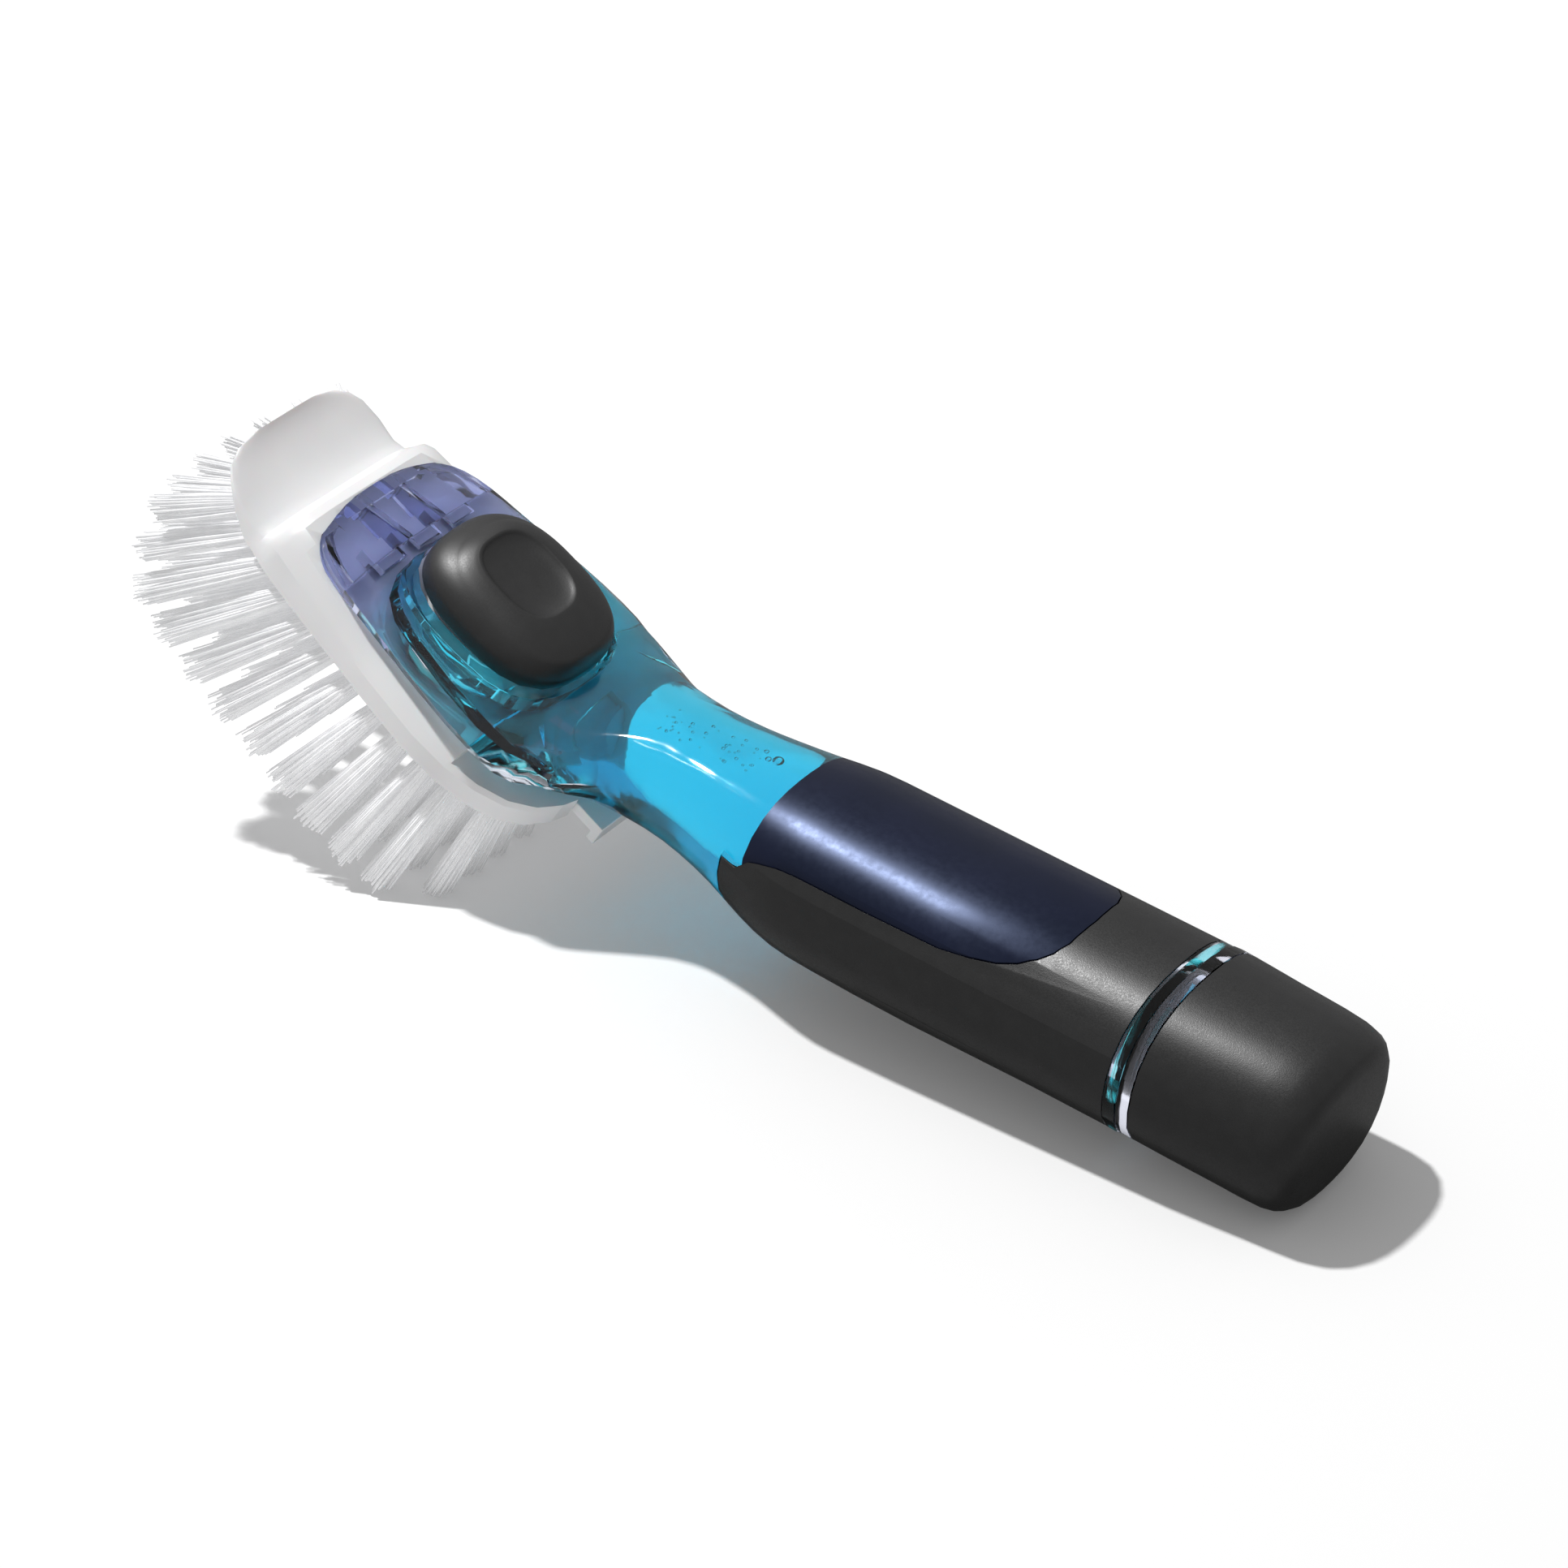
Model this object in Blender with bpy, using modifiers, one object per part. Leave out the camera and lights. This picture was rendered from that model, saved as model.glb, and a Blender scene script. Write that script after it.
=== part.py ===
# Soap dispensing dish brush, standing on its rear tufts and on the lower edge of its end cap.
# Metres, +Z up, +X towards the end cap. Two frames carry the pieces: the handle frame, whose X axis
# is the handle's axis with zero at the cap's end face, and the head frame, tilted up from it.
import math

import bmesh
import bpy
from mathutils import Matrix, Vector

# Pose at rest and the two frames
REST_TILT = math.radians(7.2)
HEAD_TILT = math.radians(24.4)
HEAD_DISTANCE = 0.2235
HEAD_RISE = 0.0143
GAP = 0.0003
OVERRUN = 0.003
MERGE_DISTANCE = 0.000005

# Handle, grip and neck
HANDLE_HALF_WIDTH = 0.0224
HANDLE_HALF_HEIGHT = 0.0183
NECK_HALF_WIDTH = 0.0156
NECK_HALF_HEIGHT = 0.0128
HANDLE_RUN = 0.1205
HANDLE_SAG = 0.0042
GRIP_WALL = 0.0019
SHELL_WALL = 0.0020
NECK_WALL = 0.0026
GRIP_LENGTH = 0.0973
GRIP_NOSE_ROUND = 0.0135
GRIP_NOSE_DROP = 0.0045
GRIP_NOSE_HALF_HEIGHT = 0.0235
WINDOW_START = 0.0200
WINDOW_ROUND = 0.0410
WINDOW_HALF_WIDTH = 0.0197
WINDOW_POWER = 3.85
WINDOW_STEPS = 16
NOSE_STEPS = 12

# End cap, its clear liner and the threaded mouth
CAP_LENGTH = 0.0351
RIM_WIDTH = 0.0027
CAP_END_HALF_WIDTH = 0.0212
CAP_END_HALF_HEIGHT = 0.0188
CAP_WALL = 0.0021
CAP_ROOF = 0.0024
LINER_FLOOR_AT = 0.0120
LINER_FLOOR = 0.0026
LINER_BORE_RADIUS = 0.0149
GASKET_THICKNESS = 0.0020
SPIGOT_RADIUS = 0.0137
MOUTH_RADIUS = 0.0114
THREAD_PITCH = 0.0040
THREAD_HEIGHT = 0.0008
THREAD_WIDTH = 0.0012
THREAD_TURNS = 1.25
THREAD_INSET = 0.0035
THREAD_FADE_STEPS = 4

# Head of the shell
HEAD_HALF_WIDTH = 0.0293
HOOK_SPACING_SHARE = 0.358
HOOK_WIDTH_SHARE = 0.205
BUTTON_WIDTH_SHARE = 0.58
FLOOR_WIDTH_SHARE = 0.645
HEAD_FRONT = 0.0279
HEAD_BACK = 0.0359
HEAD_CROWN = 0.0085
HEAD_WAIST = 0.0038
HEAD_SKIRT = 0.0085
HEAD_FLOOR = 0.0047
HEAD_WALL = 0.0030
CROWN_WALL = 0.0024
HEAD_STEP_AT = 0.0293
CHAMBER_FRONT = 0.0087
CHAMBER_LEVEL = 0.0006
FLOOR_TOP = 0.0009
POCKET_BACK = 0.0125
POCKET_FRONT = 0.0249
RIB_WIDTH = 0.0016

# Thumb button and its well
BUTTON_SET_BACK = 0.0127
BUTTON_HALF_LENGTH = 0.0208
BUTTON_HALF_WIDTH = HEAD_HALF_WIDTH * BUTTON_WIDTH_SHARE
BUTTON_RIM = 0.0058
BUTTON_HEIGHT = 0.0112
BUTTON_DRAW_BACK = 0.0028
BUTTON_WALL = 0.0019
DIMPLE_WALL = 0.0016
BUTTON_CLEARANCE = 0.0004
WELL_WALL = 0.0017
LEDGE_WIDTH = 0.0018
LEDGE_BOTTOM = 0.0008
LEDGE_TOP = 0.0017
DIMPLE_HALF_LENGTH = 0.0150
DIMPLE_HALF_WIDTH = 0.0115
DIMPLE_BALL_HEIGHT = 0.0060
DIMPLE_DEPTH = 0.0020

# Valve
PLATE_THICKNESS = 0.0011
FLOOR_HALF_LENGTH = 0.0155
FLOOR_HALF_WIDTH = HEAD_HALF_WIDTH * FLOOR_WIDTH_SHARE
FLOOR_FLANGE = 0.0011
FLOOR_LEDGE_WIDTH = 0.0020
HEAD_GASKET = 0.0006
BOSS_RADIUS = 0.0066
BOSS_TOP = 0.0014
OUTLET_RADIUS = 0.0041
OUTLET_LIP = 0.0010
OUTLET_LIP_RADIUS = 0.0018
SEAT_THICKNESS = 0.0008
POPPET_RADIUS = 0.0031
POPPET_THICKNESS = 0.0010
ROD_RADIUS = 0.00115
ROD_HEAD_RADIUS = 0.0022
ROD_HEAD = 0.0006
ROD_SEAL_RADIUS = 0.0030
ROD_SEAL_THICKNESS = 0.0008
SPRING_RADIUS = 0.0040
SPRING_WIRE = 0.00035
SPRING_TURNS = 5
SPRING_STEPS = 10
SPRING_LENGTH = 0.0078
CLIP_RADIUS = 0.0052
CLIP_THICKNESS = 0.0009
STRAINER_RADIUS = 0.0106
STRAINER_WALL = 0.0013
STRAINER_HEIGHT = 0.0020
STRAINER_SLOT = 0.0012
STRAINER_SLOTS = 6

# Brush base with its hood, scraper lip and hooks
BASE_HALF_WIDTH = 0.0305
BASE_FRONT = 0.0528
BASE_BACK = 0.0515
BASE_BOTTOM = 0.0154
BASE_LIP_RISE = 0.0095
BASE_PLATE = 0.0062
BASE_WALL = 0.0024
HOOD_HEIGHT = 0.0151
HOOK_WIDTH = HEAD_HALF_WIDTH * HOOK_WIDTH_SHARE
HOOK_SPACING = HEAD_HALF_WIDTH * HOOK_SPACING_SHARE
HOOK_TOP = 0.0018
HOOK_STEM_BACK = 0.0140
HOOK_STEM_FRONT = 0.0172
HOOK_TONGUE = 0.0038
HOOK_TONGUE_THICKNESS = 0.0013
GROMMET_RADIUS = 0.0039
GROMMET_BORE = 0.0015
GROMMET_LENGTH = 0.0098
GROMMET_FLANGE_RADIUS = 0.0054
GROMMET_FLANGE = 0.0012

# Release tab
TAB_SET_BACK = 0.0452
TAB_DEPTH = 0.0121
TAB_HALF_WIDTH = 0.0100
TAB_FORWARD = 0.0030
TAB_LENGTH = 0.0138
TAB_THICKNESS = 0.0030
TAB_LIP_THICKNESS = 0.0022
TAB_LIP_DROP = 0.0026
TAB_CATCH_AT = 0.0022
TAB_CATCH_RISE = 0.0008
TAB_CATCH_LENGTH = 0.0022
PIN_REACH = 0.0030
PIN_RADIUS = 0.0007

# Bristles
BED_FRONT = 0.0438
BED_BACK = 0.0406
BED_LIP_RISE = 0.0016
BACKING = 0.0015
BACKING_SPLIT_ROWS = (3, 7)
TUFT_ROWS = 12
TUFT_COLUMNS = 7
TUFT_CLEARANCE = 0.0026
GROMMET_ROOM = 0.0046
FIRST_TUFT_INSET = 0.0030
LAST_TUFT_INSET = 0.0040
STRANDS_IN_TUFT = 5
STRAND_RADIUS = 0.00045
STRAND_TIP_SHARE = 0.8
STRAND_RAGGED_SHARE = 0.0625
STRAND_LENGTH = 0.0388
NOSE_STRAND_LENGTH = 0.0245
SHORTER_FROM = 0.0200
TUFT_ROOT_RADIUS = 0.0012
TUFT_TIP_RADIUS = 0.0040
TUFT_TIP_SHARE = 0.66
UPRIGHT_AT = -0.0280
FRONT_LEAN = math.radians(54)
BACK_LEAN = math.radians(8)
SIDE_LEAN = math.radians(20)
NOSE_SIDE_LEAN = math.radians(38)
LEAN_POWER = 1.25
ROOT_STRETCH = 2.0
FLOOR_TRIM = 0.0005

RING_POINTS = 28
ROW_STEPS = 2
ROUND_STEPS = 24
SECTION_POWER = 2.4
BUTTON_POWER = 2.7
BASE_POWER = 4.0

# Rows of the lofts, as shares of the named sizes. Handle: run, size between neck and handle, sag.
HANDLE_ROW_SHARES = (
    (0.0, 1.0, 0.1),
    (0.15, 1.005, 0.3),
    (0.4, 1.03, 0.76),
    (0.6, 1.01, 0.98),
    (0.69, 0.94, 1.0),
    (0.765, 0.68, 0.92),
    (0.845, 0.34, 0.66),
    (0.92, 0.11, 0.5),
    (1.0, 0.0, 0.4),
)
# Throat: run, sag, tilt, width between neck and head, top and bottom against the neck's half height
THROAT_ROW_SHARES = (
    (1.086, 0.36, 0.45, 0.12, 0.93, 0.93),
    (1.165, 0.78, 0.8, 0.48, 0.99, 0.74),
)
# Head: place along its length (back is negative), width, crown height
HEAD_ROW_SHARES = (
    (-1.0, 0.955, 1.12),
    (-0.79, 1.0, 0.99),
    (-0.5, 0.985, 0.99),
    (-0.17, 0.935, 0.93),
    (0.18, 0.885, 0.76),
    (0.48, 0.85, 0.56),
    (0.71, 0.79, 0.37),
    (0.86, 0.69, 0.22),
    (0.955, 0.53, 0.08),
    (1.0, 0.30, -0.02),
)
# Chamber in the head: place (back is negative), width, crown height
CHAMBER_BACK_SHARES = (
    (-1.0, 0.95, 1.08),
    (-0.79, 1.0, 0.99),
    (-0.5, 0.985, 0.99),
)
CHAMBER_FRONT_SHARES = (
    (-0.65, 0.92, 0.93),
    (0.0, 0.87, 0.84),
    (0.54, 0.745, 0.76),
    (0.87, 0.535, 0.72),
    (1.0, 0.29, 0.70),
)
# Cap: place along the cap, size, blend from the end's size to the handle's
CAP_ROW_SHARES = (
    (0.0, 0.66, 0.0),
    (0.02, 0.79, 0.0),
    (0.075, 0.91, 0.0),
    (0.2, 0.985, 0.0),
    (0.5, 1.0, 0.25),
    (0.8, 1.0, 0.75),
    (1.0, 1.0, 1.0),
)
# Thumb button: height, size
BUTTON_ROW_SHARES = (
    (0.0, 1.0),
    (0.3, 1.0),
    (0.45, 0.98),
    (0.6, 0.93),
    (0.74, 0.85),
    (0.85, 0.75),
    (0.93, 0.63),
    (0.98, 0.47),
    (1.0, 0.26),
)
# Brush base: place along its length (back is negative), width, rise of the lower edge, height
BASE_ROW_SHARES = (
    (-1.0, 0.27, 0.0, 0.69),
    (-0.973, 0.485, 0.0, 0.69),
    (-0.917, 0.68, 0.0, 0.69),
    (-0.826, 0.832, 0.0, 0.69),
    (-0.697, 0.934, 0.0, 0.69),
    (-0.55, 0.983, 0.0, 0.69),
    (-0.367, 0.996, 0.0, 0.69),
    (-0.092, 0.957, 0.0, 0.69),
    (0.036, 0.93, 0.0, 0.70),
    (0.179, 0.908, 0.0, 0.795),
    (0.358, 0.872, 0.0, 0.91),
    (0.46, 0.85, 0.0, 0.97),
    (0.537, 0.83, 0.0, 1.0),
    (0.58, 0.815, 0.0, 0.93),
    (0.61, 0.80, 0.0, 0.70),
    (0.645, 0.785, 0.0, 0.45),
    (0.70, 0.768, 0.0, 0.43),
    (0.805, 0.745, 0.37, 0.495),
    (0.895, 0.69, 0.71, 0.55),
    (0.948, 0.62, 0.82, 0.615),
    (0.984, 0.50, 0.93, 0.675),
    (1.0, 0.34, 1.0, 0.715),
)
# Bristle bed: place along its length, width, rise
BED_ROW_SHARES = (
    (-1.0, 0.68, 0.0),
    (-0.94, 0.86, 0.0),
    (-0.74, 0.955, 0.0),
    (-0.42, 0.985, 0.0),
    (-0.12, 0.945, 0.0),
    (0.23, 0.89, 0.0),
    (0.43, 0.85, 0.0),
    (0.64, 0.81, 0.0),
    (0.78, 0.765, 0.05),
    (0.87, 0.72, 0.3),
    (0.95, 0.65, 0.75),
    (0.99, 0.56, 0.96),
    (1.0, 0.46, 1.0),
)

for old in list(bpy.data.objects):
    bpy.data.objects.remove(old, do_unlink=True)

parts = bpy.data.collections.new("dish_brush")
cutters = bpy.data.collections.new("dish_brush_cutters")
bpy.context.scene.collection.children.link(parts)
bpy.context.scene.collection.children.link(cutters)


def material(name, colour, roughness, metallic=0.0, alpha=1.0):
    mat = bpy.data.materials.new(name)
    mat.use_nodes = True
    shader = mat.node_tree.nodes["Principled BSDF"]
    shader.inputs["Base Color"].default_value = (*colour, 1.0)
    shader.inputs["Roughness"].default_value = roughness
    shader.inputs["Metallic"].default_value = metallic
    shader.inputs["Alpha"].default_value = alpha
    return mat


CLEAR = material("clear_shell", (0.72, 0.76, 0.92), 0.06, alpha=0.35)
BLACK = material("black_rubber", (0.022, 0.022, 0.024), 0.45)
WHITE = material("white_plastic", (0.86, 0.86, 0.87), 0.32)
NYLON = material("nylon_bristle", (0.88, 0.89, 0.91), 0.35)
SILICONE = material("silicone", (0.62, 0.64, 0.66), 0.5)
STEEL = material("spring_steel", (0.62, 0.62, 0.63), 0.25, metallic=1.0)

SIDEWAYS = Matrix.Rotation(math.pi / 2, 4, "X")


def empty(name, parent=None, location=(0, 0, 0), turn=0.0):
    obj = bpy.data.objects.new(name, None)
    parts.objects.link(obj)
    obj.parent = parent
    obj.location = location
    obj.rotation_euler = (0, turn, 0)
    return obj


handle_frame = empty("handle_frame", turn=REST_TILT)
head_frame = empty("head_frame", handle_frame, (-HEAD_DISTANCE, 0, HEAD_RISE), HEAD_TILT)
button_axis = empty("button_axis", head_frame, (BUTTON_SET_BACK, 0, 0))
tab_axis = empty("tab_axis", head_frame, (TAB_SET_BACK, 0, -TAB_DEPTH))
# This frame's Z axis is the cap's turning axis, with zero at the cap's open edge
cap_axis = empty("cap_axis", handle_frame, (-CAP_LENGTH, 0, 0), math.pi / 2)


def add_object(name, mesh, parent, mat):
    obj = bpy.data.objects.new(name, mesh)
    mesh.materials.clear()
    if mat:
        parts.objects.link(obj)
        mesh.materials.append(mat)
    else:
        cutters.objects.link(obj)
        obj.hide_render = True
        obj.display_type = "WIRE"
    obj.parent = parent
    return obj


def boolean(obj, other, operation):
    modifier = obj.modifiers.new(operation.lower() + "_" + other.name, "BOOLEAN")
    modifier.operation = operation
    modifier.solver = "EXACT"
    modifier.object = other


def cut(obj, *others):
    for other in others:
        boolean(obj, other, "DIFFERENCE")


def join(obj, *others):
    for other in others:
        boolean(obj, other, "UNION")


def from_bmesh(name, bm, parent, mat):
    mesh = bpy.data.meshes.new(name)
    bm.to_mesh(mesh)
    bm.free()
    return add_object(name, mesh, parent, mat)


def loft(name, rings, parent, mat=None):
    bm = bmesh.new()
    rows = [[bm.verts.new(point) for point in ring] for ring in rings]
    for near, far in zip(rows, rows[1:]):
        for i in range(len(near)):
            j = (i + 1) % len(near)
            bm.faces.new((near[i], near[j], far[j]))
            bm.faces.new((near[i], far[j], far[i]))
    bm.faces.new(rows[0])
    bm.faces.new(rows[-1])
    bmesh.ops.recalc_face_normals(bm, faces=bm.faces)
    return from_bmesh(name, bm, parent, mat)


def block(name, low, high, parent, mat=None):
    size = Vector(high) - Vector(low)
    middle = (Vector(high) + Vector(low)) / 2
    bm = bmesh.new()
    bmesh.ops.create_cube(bm, size=1, matrix=Matrix.Translation(middle) @ Matrix.Diagonal((*size, 1)))
    return from_bmesh(name, bm, parent, mat)


def rod(name, radius, low, high, parent, mat=None, turn=None):
    bm = bmesh.new()
    place = (turn or Matrix()) @ Matrix.Translation((0, 0, (low + high) / 2))
    bmesh.ops.create_cone(bm, cap_ends=True, segments=ROUND_STEPS, radius1=radius, radius2=radius,
                          depth=high - low, matrix=place)
    return from_bmesh(name, bm, parent, mat)


def turned(name, profile, parent, mat=None):
    """A closed profile of (radius, height) turned round Z, its outer side running top to bottom."""
    mesh = bpy.data.meshes.new(name)
    edges = [(i, (i + 1) % len(profile)) for i in range(len(profile))]
    mesh.from_pydata([(radius, 0, height) for radius, height in profile], edges, [])
    obj = add_object(name, mesh, parent, mat)
    screw = obj.modifiers.new("turn", "SCREW")
    screw.steps = ROUND_STEPS
    screw.render_steps = ROUND_STEPS
    screw.use_merge_vertices = True
    screw.merge_threshold = MERGE_DISTANCE
    return obj


def washer(name, outer, inner, low, high, parent, mat):
    return turned(name, ((outer, high), (outer, low), (inner, low), (inner, high)), parent, mat)


def outline(half_length, half_width, power, count=RING_POINTS):
    points = []
    for i in range(count):
        angle = 2 * math.pi * (i + 0.5) / count
        reach = (abs(math.cos(angle) / half_length) ** power
                 + abs(math.sin(angle) / half_width) ** power) ** (-1 / power)
        points.append((reach * math.cos(angle), reach * math.sin(angle)))
    return points


def plate(name, points, low, high, parent, mat=None, turn=None):
    """A flat outline extruded from low to high along Z, or turned to face another way."""
    curve = bpy.data.curves.new(name + "_outline", "CURVE")
    curve.dimensions = "2D"
    curve.fill_mode = "BOTH"
    curve.extrude = (high - low) / 2
    spline = curve.splines.new("POLY")
    spline.points.add(len(points) - 1)
    for place, (x, y) in zip(spline.points, points):
        place.co = (x, y, 0, 1)
    spline.use_cyclic_u = True
    sketch = bpy.data.objects.new(name + "_sketch", curve)
    parts.objects.link(sketch)
    bpy.context.view_layer.update()
    evaluated = sketch.evaluated_get(bpy.context.evaluated_depsgraph_get())
    mesh = bpy.data.meshes.new_from_object(evaluated)
    bpy.data.objects.remove(sketch, do_unlink=True)
    bpy.data.curves.remove(curve)
    mesh.transform((turn or Matrix()) @ Matrix.Translation((0, 0, (high + low) / 2)))
    bm = bmesh.new()
    bm.from_mesh(mesh)
    bmesh.ops.remove_doubles(bm, verts=bm.verts, dist=MERGE_DISTANCE)
    bmesh.ops.recalc_face_normals(bm, faces=bm.faces)
    bpy.data.meshes.remove(mesh)
    return from_bmesh(name, bm, parent, mat)


def smooth_rows(rows):
    """Rows in between, on a smooth curve through the given ones."""
    result = []
    for i in range(len(rows) - 1):
        before = rows[max(i - 1, 0)]
        start = rows[i]
        end = rows[i + 1]
        after = rows[min(i + 2, len(rows) - 1)]
        for k in range(ROW_STEPS):
            t = k / ROW_STEPS
            row = []
            for a, b, c, d in zip(before, start, end, after):
                row.append(b + (c - a) * t / 2 + (2 * a - 5 * b + 4 * c - d) * t * t / 2
                           + (3 * b - a - 3 * c + d) * t ** 3 / 2)
            result.append(tuple(row))
    result.append(tuple(rows[-1]))
    return result


def section(row, inset=0.0):
    """Section points for a row of x, z, tilt, half width, height above, depth below."""
    x, z, tilt, half_width, above, below = row
    points = []
    for i in range(RING_POINTS):
        angle = 2 * math.pi * (i + 0.5) / RING_POINTS
        height = (above if math.sin(angle) > 0 else below) - inset
        reach = (abs(math.cos(angle) / (half_width - inset)) ** SECTION_POWER
                 + abs(math.sin(angle) / height) ** SECTION_POWER) ** (-1 / SECTION_POWER)
        lift = reach * math.sin(angle)
        points.append((x + lift * math.sin(tilt), reach * math.cos(angle), z + lift * math.cos(tilt)))
    return points


def sections(rows, inset=0.0):
    return [section(row, inset) for row in rows]


def shrunk(row, inset):
    x, z, tilt, half_width, above, below = row
    return (x, z, tilt, half_width - inset, above - inset, below - inset)


def head_to_handle(along, up):
    """A point of the head, with along positive towards the nose, in the handle frame."""
    x = -HEAD_DISTANCE - along * math.cos(HEAD_TILT) + up * math.sin(HEAD_TILT)
    z = HEAD_RISE + along * math.sin(HEAD_TILT) + up * math.cos(HEAD_TILT)
    return x, z


BAND_FRONT = CAP_LENGTH + 2 * RIM_WIDTH + 2 * GAP
FLANGE_AT = CAP_LENGTH + RIM_WIDTH + 2 * GAP
SPIGOT_END = LINER_FLOOR_AT + LINER_FLOOR + GASKET_THICKNESS + 2 * GAP
THREAD_START = CAP_LENGTH - SPIGOT_END - THREAD_INSET - THREAD_PITCH * THREAD_TURNS


def handle_rows():
    rows = []
    for run, size, sag in HANDLE_ROW_SHARES:
        width = NECK_HALF_WIDTH + (HANDLE_HALF_WIDTH - NECK_HALF_WIDTH) * size
        height = NECK_HALF_HEIGHT + (HANDLE_HALF_HEIGHT - NECK_HALF_HEIGHT) * size
        rows.append((-BAND_FRONT - run * HANDLE_RUN, -sag * HANDLE_SAG, 0.0, width, height, height))
    return rows


def throat_rows():
    rows = []
    for run, sag, tilt, blend, top, bottom in THROAT_ROW_SHARES:
        width = NECK_HALF_WIDTH + (HEAD_HALF_WIDTH - NECK_HALF_WIDTH) * blend
        rows.append((-BAND_FRONT - run * HANDLE_RUN, -sag * HANDLE_SAG, tilt * HEAD_TILT, width,
                     top * NECK_HALF_HEIGHT, bottom * NECK_HALF_HEIGHT))
    return rows


def head_rows():
    rows = []
    for place, width, crown in HEAD_ROW_SHARES:
        x, z = head_to_handle(place * (HEAD_FRONT if place > 0 else HEAD_BACK), -HEAD_WAIST)
        rows.append((x, z, HEAD_TILT, width * HEAD_HALF_WIDTH, crown * HEAD_CROWN + HEAD_WAIST,
                     HEAD_SKIRT - HEAD_WAIST))
    return rows


def flange_row():
    first = handle_rows()[0]
    return (-FLANGE_AT, *first[1:])


def outer_rows():
    return [flange_row()] + smooth_rows(handle_rows() + throat_rows() + head_rows())


def chamber_rows():
    """The reservoir's inside, from the mouth to the front wall of the chamber in the head."""
    rows = []
    for row, shares in zip(handle_rows(), HANDLE_ROW_SHARES):
        bare = min(1.0, max(0.0, (shares[0] * HANDLE_RUN - GRIP_LENGTH + GRIP_NOSE_ROUND)
                            / GRIP_NOSE_ROUND))
        rows.append(shrunk(row, (GRIP_WALL + GAP + SHELL_WALL) * (1 - bare) + NECK_WALL * bare))
    rows[0] = (rows[0][0] - SHELL_WALL, *rows[0][1:])
    rows += [shrunk(row, NECK_WALL) for row in throat_rows()]
    places = [(place * HEAD_BACK, width, crown) for place, width, crown in CHAMBER_BACK_SHARES]
    places += [(place * CHAMBER_FRONT, width, crown) for place, width, crown in CHAMBER_FRONT_SHARES]
    for along, width, crown in places:
        x, z = head_to_handle(along, CHAMBER_LEVEL)
        rows.append((x, z, HEAD_TILT, width * (HEAD_HALF_WIDTH - HEAD_WALL),
                     crown * HEAD_CROWN - CROWN_WALL - CHAMBER_LEVEL, CHAMBER_LEVEL + FLOOR_TOP))
    return rows


def cap_rows():
    rows = []
    for place, size, blend in CAP_ROW_SHARES:
        width = (CAP_END_HALF_WIDTH + (HANDLE_HALF_WIDTH - CAP_END_HALF_WIDTH) * blend) * size
        height = (CAP_END_HALF_HEIGHT + (HANDLE_HALF_HEIGHT - CAP_END_HALF_HEIGHT) * blend) * size
        rows.append((-place * CAP_LENGTH, 0.0, 0.0, width, height, height))
    return rows


def thread_ridge(name, root_radius, crest_radius, start, parent):
    """A thread ridge round Z that runs out at both ends."""
    steps = int(ROUND_STEPS * THREAD_TURNS)
    rings = []
    for k in range(steps + 1):
        angle = 2 * math.pi * THREAD_TURNS * k / steps
        height = start + THREAD_PITCH * THREAD_TURNS * k / steps
        fade = min(1.0, (k + 1) / THREAD_FADE_STEPS, (steps - k + 1) / THREAD_FADE_STEPS)
        crest = root_radius + (crest_radius - root_radius) * fade
        shape = ((root_radius, -THREAD_WIDTH / 2), (crest, -THREAD_WIDTH / 4),
                 (crest, THREAD_WIDTH / 4), (root_radius, THREAD_WIDTH / 2))
        rings.append([(radius * math.cos(angle), radius * math.sin(angle), height + offset)
                      for radius, offset in shape])
    return loft(name, rings, parent)


def grip_side(extra):
    """Side view of the grip: a straight run with a rounded nose towards the head."""
    start = -BAND_FRONT - GAP + extra
    nose = -BAND_FRONT - GRIP_LENGTH + GRIP_NOSE_ROUND
    points = [(start, 2 * HANDLE_HALF_WIDTH), (start, -2 * HANDLE_HALF_WIDTH)]
    for i in range(NOSE_STEPS + 1):
        angle = math.pi * (i / NOSE_STEPS - 0.5)
        points.append((nose - (GRIP_NOSE_ROUND + extra) * math.cos(angle),
                       -GRIP_NOSE_DROP + (GRIP_NOSE_HALF_HEIGHT + extra) * math.sin(angle)))
    return points


def grip_window(inset):
    """Plan of the window in the grip: rounded towards the cap, open towards the head."""
    half = WINDOW_HALF_WIDTH - inset
    back = -BAND_FRONT - WINDOW_START - inset
    bend = -BAND_FRONT - WINDOW_START - WINDOW_ROUND
    front = -BAND_FRONT - HANDLE_RUN
    points = [(front, -half)]
    for i in range(WINDOW_STEPS + 1):
        angle = math.pi * (i / WINDOW_STEPS - 0.5)
        points.append((bend + (back - bend) * abs(math.cos(angle)) ** (2 / WINDOW_POWER),
                       half * math.copysign(abs(math.sin(angle)) ** (2 / WINDOW_POWER), angle)))
    points.append((front, half))
    return points


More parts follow.
